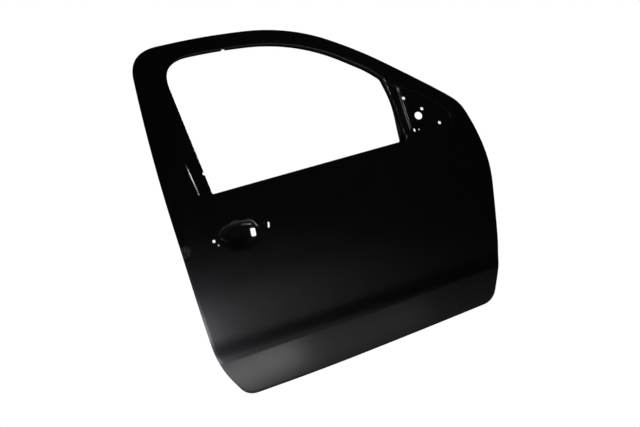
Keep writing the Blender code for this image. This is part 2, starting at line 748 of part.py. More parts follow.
def build_outer_panel(parts, outline, window, pressed):
    """The skin: one stamping with hem, window flange, belt fold and pressed recesses."""
    bm = bmesh.new()
    hem = hem_rings(bm, outline)
    edge = window_rings(bm, window, pressed)
    loft(bm, [hem[1], hem[0]])
    loft(bm, hem[1:])
    loft(bm, edge)

    def lift(x, z):
        return base_y(x, z) + relief(pressed, x, z)

    holes = [ring(bm, loop, lift) for loop in skin_holes()]
    guides = swage_guides(outline)
    for item in pressed.values():
        guides += [(item.loop, True), (item.floor(), True)]
    fill(bm, [hem[-1], edge[0]] + holes, lift, guides, SURFACE_STEPS)
    return stamping("outer_panel", bm, SKIN_GAUGE, Vector((0, -1, 0)), parts)


def draft_at(normal):
    """How far the wall leans in: none where it is seat to a hinge or the latch."""
    return WALL_DRAFT * (1 - smooth((abs(normal.x) - WALL_FLAT_SHARE) / (1 - WALL_FLAT_SHARE)))


def leaned(wall):
    """The wall's line at the seal land, past its draft."""
    return [p + n * draft_at(n) for p, n in zip(wall, loop_normals(wall))]


def wall_rings(bm, wall):
    """Shut face of the inner panel, from the hem flange in to the seal land."""
    flange = SKIN_GAUGE + FIT_GAP + INNER_GAUGE
    normals = loop_normals(wall)
    top = WALL_TOP * (1 - sin(pi / 4))
    profile = ((-WALL_FOOT, None, 0.0), (0, None, WALL_FOOT), (0, WALL_TOP, None),
               (top, top, None), (WALL_TOP, 0.0, None))
    rings = []
    for out, below, above in profile:
        row = []
        for point, normal in zip(wall, normals):
            draft = draft_at(normal) if below is not None else 0.0
            spot = point + normal * (out + draft)
            if below is None:
                y = inside_y(spot.x, spot.y, flange + LIFT_OFF) + above
            else:
                y = land_y(spot.x, spot.y) - below
            row.append(bm.verts.new((spot.x, y, spot.y)))
        rings.append(row)
    return rings


def jamb_rings(bm, window):
    """Window edge of the inner panel, turned outboard to meet the glass channel."""
    channel_back = WINDOW_FLANGE + 3 * FIT_GAP + CHANNEL_WIDTH
    half = JAMB_FOLD * (1 - sin(pi / 4))
    profile = ((JAMB_FOLD, 0.0), (half, half), (0, JAMB_FOLD), (0, None))
    rings = []
    for out, below in profile:
        row = []
        for point, normal in zip(window, loop_normals(window)):
            spot = point - normal * out
            land = land_y(spot.x, spot.y)
            if below is None:
                end = inside_y(spot.x, spot.y, channel_back)
                y = mix(land - BELT_RETURN, end, frame_weight(point))
            else:
                y = land - below
            row.append(bm.verts.new((spot.x, y, spot.y)))
        rings.append(row)
    return rings


def bead_depth(x, z):
    """How far the beads of the main face stand outboard of it."""
    point = Vector((x, z))
    depth = 0.0
    for start, end in BEAD_SHARES:
        a, b = place(start), place(end)
        t = min(1.0, max(0.0, (point - a).dot(b - a) / (b - a).length_squared))
        reach = BEAD_RADIUS + BEAD_WALL - (point - a.lerp(b, t)).length
        depth = max(depth, BEAD_DEPTH * smooth(reach / BEAD_WALL))
    return depth


def access_loops():
    loops = [circle(place(SPEAKER_SHARES), SPEAKER_RADIUS, 20)]
    loops += [rounded(item, WINDOW_STEP) for item in
              (MAIN_HOLE_SHARES, REAR_HOLE_SHARES, LOWER_HOLE_SHARES)]
    return loops


def lipped_hole(bm, loop, lift):
    """Hole with its edge turned outboard; gives back the ring that the face joins."""
    if area(loop) < 0:
        loop = loop[::-1]
    rings = [ring(bm, inset(loop, -LIP_FOLD), lift),
             ring(bm, loop, lambda x, z: lift(x, z) - LIP_FOLD),
             ring(bm, loop, lambda x, z: lift(x, z) - LIP_FOLD - LIP_DEPTH)]
    loft(bm, rings)
    return rings[0]


def area(loop):
    return sum(a.x * b.y - b.x * a.y for a, b in zip(loop, loop[1:] + loop[:1])) / 2


def build_inner_panel(parts, outline, window, wall):
    """The deep-drawn inner panel, with its hem flange, shut faces, seal land and trim face."""
    bm = bmesh.new()
    flange = SKIN_GAUGE + FIT_GAP + INNER_GAUGE
    edge = SKIN_GAUGE + INNER_GAUGE / 2 + 2 * FIT_GAP
    rim = [ring(bm, inset(outline, distance), lambda x, z: inside_y(x, z, flange))
           for distance in (edge, HEM_FLANGE)]
    loft(bm, rim)
    shut = wall_rings(bm, wall)
    loft(bm, shut)

    def base(x, z):
        share = (signed(outline, (x, z)) - HEM_FLANGE) / WALL_FOOT
        return inside_y(x, z, flange + LIFT_OFF * smooth(share))

    fill(bm, [rim[-1], shut[0]], base, swage_guides(outline), SURFACE_STEPS)
    jamb = jamb_rings(bm, window)
    loft(bm, jamb)

    trim = rounded(TRIM_SHARES, OUTLINE_STEP)
    step = [ring(bm, trim, land_y),
            ring(bm, inset(trim, TRIM_WALL), lambda x, z: land_y(x, z) + TRIM_STEP)]
    loft(bm, step)
    sail = ring(bm, rounded(SAIL_HOLE_SHARES, DETAIL_STEP), land_y)
    fill(bm, [shut[-1], jamb[0], step[0], sail], land_y, steps=SURFACE_STEPS)

    def face(x, z):
        return LAND_REACH + TRIM_STEP - bead_depth(x, z)

    holes = [lipped_hole(bm, loop, face) for loop in access_loops()]
    holes.append(ring(bm, circle(place(LOOM_HOLE_SHARES), LOOM_HOLE_RADIUS), face))
    holes += [ring(bm, circle(place(item), CLIP_RADIUS, 6), face) for item in CLIP_SHARES]
    beads = []
    for start, end in BEAD_SHARES:
        for radius in (BEAD_RADIUS, BEAD_RADIUS + BEAD_WALL):
            beads.append((capsule(place(start), place(end), radius), True))
    fill(bm, [step[1]] + holes, face, beads)
    return stamping("inner_panel", bm, INNER_GAUGE, Vector((0, 1, 0)), parts)


# Reinforcements on the walls

def wall_stretch(wall, low, high, front, depth):
    """Points of the shut wall between two heights, set back by depth."""
    middle = sum(p.x for p in wall) / len(wall)
    side = [p for p in inset(wall, depth) if (p.x > middle) == front]
    side.sort(key=lambda p: p.y)
    xs, zs = [p.x for p in side], [p.y for p in side]
    heights = [low] + [z for z in zs if low + EDGE_CLEAR < z < high - EDGE_CLEAR] + [high]
    return [Vector((float(np.interp(z, zs, xs)), z)) for z in heights]


def wall_x(wall, z, front, depth):
    return wall_stretch(wall, z, z + 2 * EDGE_CLEAR, front, depth)[0].x


def wall_brace(name, parts, wall, low, high, front, out, gauge):
    """Angle plate inside a shut wall, with a flange under the seal land."""
    depth = INNER_GAUGE + FIT_GAP
    line = wall_stretch(wall, low, high, front, depth)
    normals = loop_normals(line, False)
    inward = -1 if front else 1
    top = LAND_REACH - INNER_GAUGE - FIT_GAP
    fold = BRACE_FOLD * (1 - sin(pi / 4))
    profile = ((0, -out), (0, top - BRACE_FOLD), (fold, top - fold), (BRACE_FOLD, top),
               (BRACE_FLANGE, top))
    bm = bmesh.new()
    rows = []
    for across, y in profile:
        row = []
        for point, normal in zip(line, normals):
            shift = abs(normal.x) * across * inward
            row.append(bm.verts.new((point.x + shift, y, point.y)))
        rows.append(row)
    loft(bm, rows, closed=False)
    return stamping(name, bm, gauge, Vector((-inward, 0, 0)), parts)


def hinge_cutter(cutters):
    """Bolt holes of both hinges and the check link's slot, through wall, brace and plates."""
    bm = bmesh.new()
    for x, z in ((0.0, 0.0), (side_x(LOWER_SEAT_SHARE), side_z(LOWER_HINGE_SHARE))):
        for side in (-1, 1):
            centre = Vector((x, 0, z + side * HINGE_BOLT_SPREAD))
            bar(bm, centre, HINGE_BOLT_RADIUS, 2 * BRACE_FLANGE, (1, 0, 0))
    return add_cutter("hinge_bolt_cutter", bm, cutters)


def check_frame(wall):
    """Centre of the check link's seat on the sloping wall, and the turn that faces it."""
    z = side_z(CHECK_SHARE)
    x = wall_x(wall, z, True, 0.0)
    ahead = wall_x(wall, z + TAPPING_SIZE[1], True, 0.0)
    return Vector((x, 0, z)), Matrix.Rotation(atan2(ahead - x, TAPPING_SIZE[1]), 4, "Y")


def check_cutter(cutters, wall):
    centre, turn = check_frame(wall)
    bm = bmesh.new()
    block(bm, centre, (2 * BRACE_FLANGE, *CHECK_SLOT), turn)
    for side in (-1, 1):
        spot = centre + turn @ Vector((0, 0, side * CHECK_BOLT_SPREAD))
        bar(bm, spot, CHECK_BOLT_RADIUS, 2 * BRACE_FLANGE, turn @ Vector((1, 0, 0)), 8)
    return add_cutter("check_link_cutter", bm, cutters)


def latch_cutter(cutters, wall):
    z = side_z(LATCH_PLACE_SHARE)
    centre = Vector((wall_x(wall, z, False, 0.0), 0, z))
    bm = bmesh.new()
    block(bm, centre, (2 * BRACE_FLANGE, *LATCH_MOUTH))
    for y, up in LATCH_BOLTS:
        bar(bm, centre + Vector((0, y, up)), LATCH_BOLT_RADIUS, 2 * BRACE_FLANGE, (1, 0, 0), 8)
    return add_cutter("latch_cutter", bm, cutters)


def build_front_wall(parts, cutters, wall, inner):
    """Hinge reinforcement, tapping plates and check link plate."""
    brace = wall_brace("hinge_reinforcement", parts, wall, side_z(HINGE_BRACE_SHARES[0]),
                       side_z(HINGE_BRACE_SHARES[1]), True, BRACE_OUT, BRACE_GAUGE)
    bolts, check = hinge_cutter(cutters), check_cutter(cutters, wall)
    for item in (inner, brace):
        cut(item, bolts)
        cut(item, check)
    back = INNER_GAUGE + BRACE_GAUGE + 2 * FIT_GAP
    seats = (("upper_hinge_tapping_plate", 0.0, 0.0),
             ("lower_hinge_tapping_plate", side_x(LOWER_SEAT_SHARE), side_z(LOWER_HINGE_SHARE)))
    for name, x, z in seats:
        bm = bmesh.new()
        centre = Vector((x - back - TAPPING_SIZE[0] / 2, 0, z))
        block(bm, centre, TAPPING_SIZE)
        plate = solid(name, bm, parts, ZINC, 0.5)
        round_over(plate, TAPPING_SIZE[0] / 8)
        bm = bmesh.new()
        for side in (-1, 1):
            spot = centre + Vector((0, 0, side * HINGE_BOLT_SPREAD))
            bar(bm, spot, TAPPED_RADIUS, 2 * TAPPING_SIZE[0], (1, 0, 0))
        cut(plate, add_cutter(name + "_tapping", bm, cutters))
    centre, turn = check_frame(wall)
    bm = bmesh.new()
    spot = centre - turn @ Vector((back + CHECK_SIZE[0] / 2, 0, 0))
    block(bm, spot, CHECK_SIZE, turn)
    plate = solid("check_link_plate", bm, parts)
    round_over(plate, CHECK_SIZE[0] / 5)
    cut(plate, check)
    return brace


def round_over(item, width):
    made = item.modifiers.new("edges", "BEVEL")
    made.width = width
    made.segments = 1


def build_rear_wall(parts, cutters, wall, inner):
    """Latch reinforcement behind the rear shut wall."""
    brace = wall_brace("latch_reinforcement", parts, wall, side_z(LATCH_BRACE_SHARES[0]),
                       side_z(LATCH_BRACE_SHARES[1]), False, LATCH_OUT, BRACE_GAUGE)
    cutter = latch_cutter(cutters, wall)
    cut(inner, cutter)
    cut(brace, cutter)


# Beam

def beam_ends():
    """Centres of the beam's ends, clear of the skin all along."""
    ends = []
    for shares in (BEAM_REAR_SHARES, BEAM_FRONT_SHARES):
        spot = place(shares)
        y = inside_y(spot.x, spot.y, SKIN_GAUGE + BEAM_CLEAR + BEAM_RADIUS)
        ends.append(Vector((spot.x, y, spot.y)))
    return ends


def build_beam(parts, wall):
    """Tube of the side impact beam, its end brackets, and the mastic pads between it and the skin."""
    rear, front = beam_ends()
    bm = bmesh.new()
    turn = Vector((0, 0, 1)).rotation_difference(front - rear).to_matrix().to_4x4()
    bmesh.ops.create_cone(bm, cap_ends=False, segments=16, radius1=BEAM_RADIUS,
                          radius2=BEAM_RADIUS, depth=(front - rear).length,
                          matrix=Matrix.Translation((front + rear) / 2) @ turn)
    made = add_object("side_impact_beam", bm, parts)
    tube = made.modifiers.new("tube_wall", "SOLIDIFY")
    tube.thickness = BEAM_WALL
    tube.offset = -1
    tube.use_even_offset = True
    made.data.shade_smooth()
    beam_bracket("beam_front_bracket", parts, wall, rear, front, True)
    beam_bracket("beam_rear_bracket", parts, wall, rear, front, False)
    for number, share in enumerate(PAD_SHARES, 1):
        centre = rear.lerp(front, share)
        skin = max(inside_y(centre.x + side * PAD_RADIUS, centre.z + up * PAD_RADIUS, SKIN_GAUGE)
                   for side in (-1, 0, 1) for up in (-1, 0, 1))
        top = centre.y - BEAM_RADIUS - FIT_GAP
        gap = top - skin - SEAT_GAP
        bm = bmesh.new()
        bar(bm, Vector((centre.x, top - gap / 2, centre.z)), PAD_RADIUS, gap, (0, 1, 0))
        solid("anti_flutter_pad_%d" % number, bm, parts, MASTIC, 0.9)


def beam_bracket(name, parts, wall, rear, front, at_front):
    """Plate along the inboard side of the beam's end, turned inboard along the shut wall."""
    back = INNER_GAUGE + FIT_GAP
    if at_front:
        back += BRACE_GAUGE + FIT_GAP
    end, other = (front, rear) if at_front else (rear, front)
    lap = (other - end).normalized() * SADDLE_LAP
    start = end + lap
    seat = BEAM_RADIUS + FIT_GAP
    inward = -1 if at_front else 1
    bm = bmesh.new()
    rows = []
    for side in (-1, -0.45, 0.45, 1):
        row = []
        rise = side * SADDLE_HALF
        for spot in (start, end):
            row.append((spot.x, spot.y + seat, spot.z + rise))
        z = end.z + rise
        x = wall_x(wall, z, at_front, back)
        y = end.y + seat
        row.append((x + inward * BRACE_FOLD, y, z))
        row.append((x, y + BRACE_FOLD, z))
        row.append((x, y + BRACE_FOLD + FOOT_REACH, z))
        rows.append([bm.verts.new(point) for point in row])
    loft(bm, rows, closed=False)
    return stamping(name, bm, BRACE_GAUGE, Vector((0, -1, 0)), parts)


# Belt and stiffeners that run along the door

def long_section(name, parts, ends, sections, gauge, facing):
    """Sheet lofted along the door; sections(x) gives the (y, z) points of its profile."""
    count = ceil(abs(ends[1] - ends[0]) / OUTLINE_STEP / 2)
    bm = bmesh.new()
    rows = []
    for k in range(count + 1):
        x = mix(ends[0], ends[1], k / count)
        rows.append([bm.verts.new((x, y, z)) for y, z in sections(x)])
    loft(bm, rows, closed=False)
    return stamping(name, bm, gauge, facing, parts)


def build_belt(parts):
    """The two hat sections that stiffen the belt on either side of the glass slot."""
    leg = 2 * WINDOW_FOLD + FIT_GAP
    skin = SKIN_GAUGE + SEAT_GAP + FIT_GAP
    depths = (leg, leg, BELT_HAT, BELT_HAT, skin, skin)

    def outer(x):
        z = sill_z(x)
        return [(inside_y(x, z - drop, depth), z - drop) for drop, depth in zip(BELT_DROPS, depths)]

    ends = [side_x(share) for share in BELT_END_SHARES]
    long_section("belt_reinforcement_outer", parts, ends, outer, LIGHT_GAUGE, Vector((0, -1, 0)))
    seat = LAND_REACH - INNER_GAUGE - FIT_GAP
    levels = (seat, seat, seat - SILL_HAT, seat - SILL_HAT, seat, seat)

    def inner(x):
        z = sill_z(x)
        return [(y, z - drop) for drop, y in zip(SILL_LAND, levels)]

    ends = [side_x(share) for share in SILL_END_SHARES]
    long_section("belt_reinforcement_inner", parts, ends, inner, LIGHT_GAUGE, Vector((0, 1, 0)))


def build_stiffener(parts):
    """Hat strip that stops the middle of the skin from denting."""
    ends = [side_x(share) for share in STIFFENER_SHARES]
    middle = side_z(STIFFENER_DROP_SHARE)

    def section(x):
        return [(inside_y(x, middle + up, SKIN_GAUGE + SEAT_GAP + deep), middle + up)
                for up, deep in STIFFENER_PROFILE]

    long_section("dent_stiffener", parts, ends, section, INNER_GAUGE, Vector((0, -1, 0)))


# Window channels

def build_run_channel(parts, window):
    """Rolled channel round the window frame, open towards the glass."""
    start = max(range(len(window)), key=lambda i: window[i].x - window[i].y)
    loop = window[start:] + window[:start]
    path = [p for p in loop if p.y - sill_z(p.x) > CORNER_BLEND / 2]
    first = path[0] - Vector((0, path[0].y - sill_z(path[0].x) - CORNER_BLEND / 4))
    last = path[-1] - Vector((0, path[-1].y - sill_z(path[-1].x) - CORNER_BLEND / 4))
    path = [first] + path + [last]
    front = WINDOW_FLANGE + FIT_GAP
    profile = ((0, front), (CHANNEL_DEPTH, front), (CHANNEL_DEPTH, front + CHANNEL_WIDTH),
               (0, front + CHANNEL_WIDTH))
    bm = bmesh.new()
    rows = []
    for out, depth in profile:
        rows.append([bm.verts.new((spot.x, inside_y(spot.x, spot.y, depth), spot.y))
                     for spot in inset(path, -out, False)])
    loft(bm, rows, closed=False)
    return stamping("window_run_channel", bm, SKIN_GAUGE, Vector((0, 0, 1)), parts)


def rail_y(x, z, top, depth):
    """Path of the glass below the belt: an arc that leaves the frame at its slope."""
    drop = top - z
    return inside_y(x, top, depth) - RAIL_SLOPE_SHARE * drop + drop * drop / (2 * RAIL_BOW_RADIUS)


def build_rails(parts):
    """Lower guide rails for the glass, and the bridge that holds each to the inner panel."""
    front = WINDOW_FLANGE + FIT_GAP
    names = ("rear_glass_rail", "front_glass_rail")
    for name, shares, bottom, open_way in zip(names, RAIL_SHARES, RAIL_BOTTOM_SHARES, (1, -1)):
        x_top, x_low = (side_x(share) for share in shares)
        top, low = sill_z(x_top) - RAIL_TOP_DROP, side_z(bottom)
        bm = bmesh.new()
        rows = []
        count = 6
        for k in range(count + 1):
            z = mix(top, low, k / count)
            x = mix(x_top, x_low, k / count)
            near = rail_y(x, z, top, front)
            far = near + CHANNEL_WIDTH
            lip = x + open_way * CHANNEL_DEPTH
            rows.append([bm.verts.new((px, y, z)) for px, y in
                         ((lip, near), (x, near), (x, far), (lip, far))])
        loft(bm, rows, closed=False)
        stamping(name, bm, SKIN_GAUGE, Vector((-open_way, 0, 0)), parts)
        build_bridge(name.replace("rail", "bridge"), parts, x_top, x_low, top, low, open_way)


def build_bridge(name, parts, x_top, x_low, top, low, open_way):
    """Z-shaped strap from the rail's inboard face to the inner panel."""
    z = low + BRIDGE_RISE
    share = (top - z) / (top - low)
    rail = rail_y(mix(x_top, x_low, share), z, top, WINDOW_FLANGE + FIT_GAP) + CHANNEL_WIDTH
    rail = max(rail, rail_y(mix(x_top, x_low, share), z - BRIDGE_HEIGHT / 2, top,
                            WINDOW_FLANGE + FIT_GAP) + CHANNEL_WIDTH)
    seat = LAND_REACH + TRIM_STEP - INNER_GAUGE - FIT_GAP
    x = mix(x_top, x_low, share)
    near, far = rail + FIT_GAP + LIGHT_GAUGE, seat
    points = ((x + open_way * CHANNEL_DEPTH, near), (x, near),
              (x - open_way * BRIDGE_LAP / 2, far), (x - open_way * BRIDGE_LAP * 3 / 2, far))
    bm = bmesh.new()
    rows = [[bm.verts.new((px, y, z + side * BRIDGE_HEIGHT / 2)) for px, y in points]
            for side in (-1, 1)]
    loft(bm, rows, closed=False)
    stamping(name, bm, LIGHT_GAUGE, Vector((0, 1, 0)), parts)


# Plates behind the skin and in the frame

def plate(name, parts, shares, holes, lift, gauge, facing):
    """Flat-lying plate that follows a surface, with holes."""
    bm = bmesh.new()
    rims = [ring(bm, rounded(shares, DETAIL_STEP), lift)]
    rims += [ring(bm, loop, lift) for loop in holes]
    fill(bm, rims, lift, steps=SURFACE_STEPS)
    return stamping(name, bm, gauge, facing, parts)


def build_plates(parts, pressed):
    """Plates behind the handle and mirror, and in the B-pillar part of the frame."""
    skin = SKIN_GAUGE + SEAT_GAP

    def mirror_lift(x, z):
        return inside_y(x, z, skin) + PATCH_DEPTH

    plate("mirror_reinforcement", parts, MIRROR_PLATE_SHARES, mirror_holes(FIT_GAP), mirror_lift,
          MIRROR_PLATE_GAUGE, Vector((0, -1, 0)))
    bowl = inset(pressed["bowl"].loop, -HANDLE_PLATE_CLEAR)
    pivot = place(PIVOT_PLACE_SHARES) + Vector((PIVOT_HALF[0] - PIVOT_SIGHT[0], 0))
    holes = [bowl, tilted_box(pivot, PIVOT_SIGHT, SLOT_TILT),
             circle(place(KEY_HOLE_SHARES), KEY_HOLE_RADIUS + FIT_GAP, 8)]
    plate("handle_reinforcement", parts, HANDLE_PLATE_SHARES, holes,
          lambda x, z: inside_y(x, z, skin), LIGHT_GAUGE, Vector((0, -1, 0)))
    plate("pillar_reinforcement", parts, PILLAR_PLATE_SHARES, [],
          lambda x, z: land_y(x, z) - INNER_GAUGE - SEAT_GAP - FIT_GAP, LIGHT_GAUGE,
          Vector((0, 1, 0)))


def build_nuts(parts, cutters):
    """Weld nuts on the outboard side of the trim face, for the window regulator."""
    seat = LAND_REACH + TRIM_STEP - INNER_GAUGE - FIT_GAP
    for number, shares in enumerate(NUT_SHARES, 1):
        spot = place(shares)
        centre = Vector((spot.x, seat - NUT_HEIGHT / 2, spot.y))
        bm = bmesh.new()
        bar(bm, centre, NUT_FLAT / cos(pi / 6), NUT_HEIGHT, (0, 1, 0), 6)
        nut = solid("regulator_nut_%d" % number, bm, parts, ZINC, 0.45)
        bm = bmesh.new()
        bar(bm, centre, NUT_BORE, 2 * NUT_HEIGHT, (0, 1, 0), 8)
        cut(nut, add_cutter(nut.name + "_thread", bm, cutters))


def main():
    remove_all()
    parts, cutters = new_collection("front_door_shell"), new_collection("cutters")
    outline = swaged(OUTLINE_SHARES, HEM_FLANGE)
    window = rounded(WINDOW_SHARES, WINDOW_STEP)
    wall = swaged(WALL_SHARES, -WALL_FOOT)
    pressed = pressings()
    build_outer_panel(parts, outline, window, pressed)
    inner = build_inner_panel(parts, outline, window, wall)
    wall = leaned(wall)
    build_front_wall(parts, cutters, wall, inner)
    build_rear_wall(parts, cutters, wall, inner)
    build_beam(parts, wall)
    build_belt(parts)
    build_stiffener(parts)
    build_run_channel(parts, window)
    build_rails(parts)
    build_plates(parts, pressed)
    build_nuts(parts, cutters)


main()
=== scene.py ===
# %% [markdown]
# # A bare front door shell in black electro-coat
#
# The object is the right-hand front door of a small pickup, before any glass, handle or trim goes
# on.  Two deep-drawn steel panels are hemmed together round a window opening.  We load the packed
# model first, because every piece below has to lie exactly where that model says.  +X is the
# front of the vehicle, -Y is outboard and +Z is up.  The origin is the seat of the upper hinge.

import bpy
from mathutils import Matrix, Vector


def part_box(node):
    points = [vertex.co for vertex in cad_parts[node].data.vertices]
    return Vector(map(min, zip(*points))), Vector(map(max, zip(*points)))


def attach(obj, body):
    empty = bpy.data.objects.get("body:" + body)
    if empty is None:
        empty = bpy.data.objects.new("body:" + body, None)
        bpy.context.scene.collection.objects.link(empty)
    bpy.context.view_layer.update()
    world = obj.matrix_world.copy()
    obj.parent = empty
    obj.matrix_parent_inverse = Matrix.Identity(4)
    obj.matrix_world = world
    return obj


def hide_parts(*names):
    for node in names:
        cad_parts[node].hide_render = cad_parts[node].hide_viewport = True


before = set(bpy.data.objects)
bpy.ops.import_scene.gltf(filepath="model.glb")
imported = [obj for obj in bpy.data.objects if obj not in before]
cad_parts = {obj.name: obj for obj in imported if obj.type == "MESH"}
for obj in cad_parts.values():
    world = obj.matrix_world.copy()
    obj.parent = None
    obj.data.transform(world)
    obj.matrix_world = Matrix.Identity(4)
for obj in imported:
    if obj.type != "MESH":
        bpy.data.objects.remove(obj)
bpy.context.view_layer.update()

# %% [markdown]
# ## What the script works with
#
# Everything is in metres.  A length is easier to read in millimetres, so `MM` turns one into the
# other.  Places in the side view are shares of the door's length and height, counted from its
# rear lower corner.  That way a stylist's line can be moved by a hair without touching any other
# value.

# %% Units and driving dimensions
from math import atan2, ceil, cos, pi, radians, sin

import bmesh
import bpy
import numpy as np
from mathutils import Matrix, Vector
from mathutils.geometry import delaunay_2d_cdt
from mathutils.kdtree import KDTree

MM = 0.001
DOOR_LENGTH = 1135 * MM
DOOR_HEIGHT = 1215 * MM
HINGE_LINE = 0.971
HINGE_HEIGHT = 0.4543
SKIN_GAUGE = 0.8 * MM
INNER_GAUGE = 0.9 * MM
FIT_GAP = 0.3 * MM


def side_x(share):
    """Place along the door, from its share of the length."""
    return (share - HINGE_LINE) * DOOR_LENGTH


def side_z(share):
    """Height, from its share of the door's height."""
    return (share - HINGE_HEIGHT) * DOOR_HEIGHT


def place(shares):
    """Point of the side view."""
    return np.array([side_x(shares[0]), side_z(shares[1])])


def smooth(share):
    """Eases from 0 to 1, with no kink at either end."""
    share = np.clip(share, 0, 1)
    return share * share * (3 - 2 * share)


def mix(low, high, share):
    """Value this share of the way from low to high."""
    return low + (high - low) * share


print("whole door:", round(DOOR_LENGTH / MM), "by", round(DOOR_HEIGHT / MM), "mm")

# %% [markdown]
# ## The die surface
#
# A press squeezes flat sheet against a die, so one surface decides the whole skin.  It could be
# sculpted, but a plain rule is easier to check: how far out the steel lies at any place of the
# side view.  The rule adds up a few things that a body designer would name: the lean of the
# window frame, the crown along the door, the swage near the foot with its soft double bend, the
# turned-under foot and a faint shoulder line.

# %% The rule of the skin
SKIN_REACH = 78 * MM
PLAN_RADIUS = 6.5
LOWER_RADIUS = 3.0
FULLEST = (0.425, 0.314)
LEAN_TOP = 0.759
LEAN = 0.36
SWAGE_DEPTH = 8 * MM
SWAGE_SKEW = 1.3
SWAGE_TOP = (0.196, 0.139)
CREST = (0.111, 0.0905)
TURN_UNDER_RADIUS = 3.0
TURN_UNDER = 0.045
SHOULDER_HEIGHT = 2.2 * MM
SHOULDER_WIDTH = 30 * MM
SHOULDER = (0.431, 0.452)
SHOULDER_FADE = 0.50


def slope_line(shares, x):
    """Height at x of a line given by its shares at the rear and front edges."""
    return side_z(mix(shares[0], shares[1], (x - side_x(0)) / DOOR_LENGTH))


def sharp_y(x, z):
    """The rule with knife edges."""
    fullest = side_z(FULLEST[1])
    rise = side_z(LEAN_TOP) - fullest
    t = np.clip((z - fullest) / rise, 0, 1)
    y = LEAN * (rise * (t ** 3 - t ** 4 / 2) + np.maximum(0, z - fullest - rise)) - SKIN_REACH
    y = y + np.maximum(0, fullest - z) ** 2 / (2 * LOWER_RADIUS)
    y = y + (x - side_x(FULLEST[0])) ** 2 / (2 * PLAN_RADIUS)
    top, crest = slope_line(SWAGE_TOP, x), slope_line(CREST, x)
    y = y - SWAGE_DEPTH * smooth(np.clip((top - z) / (top - crest), 0, 1) ** SWAGE_SKEW)
    under = np.maximum(0, crest - z)
    y = y + TURN_UNDER * under + under * under / (2 * TURN_UNDER_RADIUS)
    fade = smooth((x - side_x(SHOULDER_FADE)) / (DOOR_LENGTH * SHOULDER_FADE))
    away = np.abs(z - slope_line(SHOULDER, x)) / SHOULDER_WIDTH
    return y - SHOULDER_HEIGHT * fade * np.maximum(0, 1 - away) ** 2


print("skin is fullest", round(-float(sharp_y(*place(FULLEST))) / MM, 1), "mm outboard")

# %% [markdown]
# ### Eased edges, and surfaces behind the skin
#
# Real dies have no knife edges, so the rule is averaged over a couple of millimetres.  The other
# sheets lie at a depth behind the skin.  That depth has to be measured square to the steel, and
# the slope at each place says how much longer the step along Y then is.

# %% Eased edges and depths
DIE_RADIUS = 2.4 * MM
EASE_STEPS = 3


def skin_y(x, z):
    """The rule with its edges eased."""
    steps = range(-EASE_STEPS, EASE_STEPS + 1)
    return sum(sharp_y(x, z + k * DIE_RADIUS / EASE_STEPS) for k in steps) / len(steps)


def inside_y(x, z, depth):
    """Surface at this depth behind the skin, measured square to it."""
    gx = (skin_y(x + MM, z) - skin_y(x - MM, z)) / (2 * MM)
    gz = (skin_y(x, z + MM) - skin_y(x, z - MM)) / (2 * MM)
    return skin_y(x, z) + depth * np.sqrt(1 + gx * gx + gz * gz)


print("with its edges eased:", round(-float(skin_y(*place(FULLEST))) / MM, 1), "mm outboard")

# %% [markdown]
# ## Outlines
#
# Every edge is a run of corners, each with how far it is rounded.  A rounded corner is a short
# curve between two straight runs, which is how such outlines are drawn on paper.  A curve object
# could do this too, but a plain list of points is simpler to offset and to measure later.

# %% Rounded outlines
OUTLINE = (
    (0.870, 0.003, 0.51), (0.932, 0.121, 1.00), (1.0008, 0.380, 1.00), (0.995, 0.492, 1.00),
    (0.978, 0.580, 1.00), (0.934, 0.627, 1.00), (0.743, 0.812, 1.00), (0.611, 0.909, 1.00),
    (0.483, 0.960, 1.00), (0.291, 0.990, 1.00), (0.063, 1.0056, 0.79), (0.031, 0.785, 1.00),
    (0.011, 0.582, 1.00), (0.0023, 0.302, 1.00), (0.0013, 0.109, 1.00), (0.056, 0.0043, 0.53),
    (0.282, 0.0003, 1.00))
WINDOW = (
    (0.762, 0.5233, 0.15), (0.773, 0.630, 1.00), (0.771, 0.7165, 0.30),
    (0.739, 0.755, 1.00), (0.624, 0.852, 1.00), (0.489, 0.913, 1.00), (0.332, 0.939, 1.00),
    (0.142, 0.955, 1.00), (0.143, 0.770, 1.00), (0.146, 0.550, 0.05))


def rounded(corners, step):
    """Closed outline through corners (share, share, rounding), counter-clockwise."""
    spots = [place(corner) for corner in corners]
    loop = []

    def run_to(end):
        if loop:
            start = loop[-1]
            count = max(1, ceil(np.linalg.norm(end - start) / step))
            loop.extend(mix(start, end, k / count) for k in range(1, count))
        loop.append(end)

    for i, spot in enumerate(spots):
        back, ahead = spots[i - 1] - spot, spots[(i + 1) % len(spots)] - spot
        lengths = np.linalg.norm(back), np.linalg.norm(ahead)
        reach = corners[i][2] / 2 * min(lengths)
        start, end = spot + back / lengths[0] * reach, spot + ahead / lengths[1] * reach
        run_to(start)
        if reach > MM:
            parts = max(4, ceil(np.linalg.norm(end - start) / step))
            for t in np.linspace(0, 1, parts + 1)[1:]:
                loop.append(start * (1 - t) ** 2 + spot * 2 * t * (1 - t) + end * t * t)
    run_to(loop[0].copy())
    return np.array([p for i, p in enumerate(loop) if np.linalg.norm(p - loop[i - 1]) > step / 3])


outline = rounded(OUTLINE, 8 * MM)
window = rounded(WINDOW, 7 * MM)
print("outline:", len(outline), "points, window:", len(window), "points")

# %% [markdown]
# ### Offsets and distances
#
# Offsetting an outline along its own normals gives the hem, the flanges and the steps.  A signed
# distance tells how far inside an outline any point lies.  Between them they make nearly every
# feature of a pressed panel, so they are worth writing once and well.

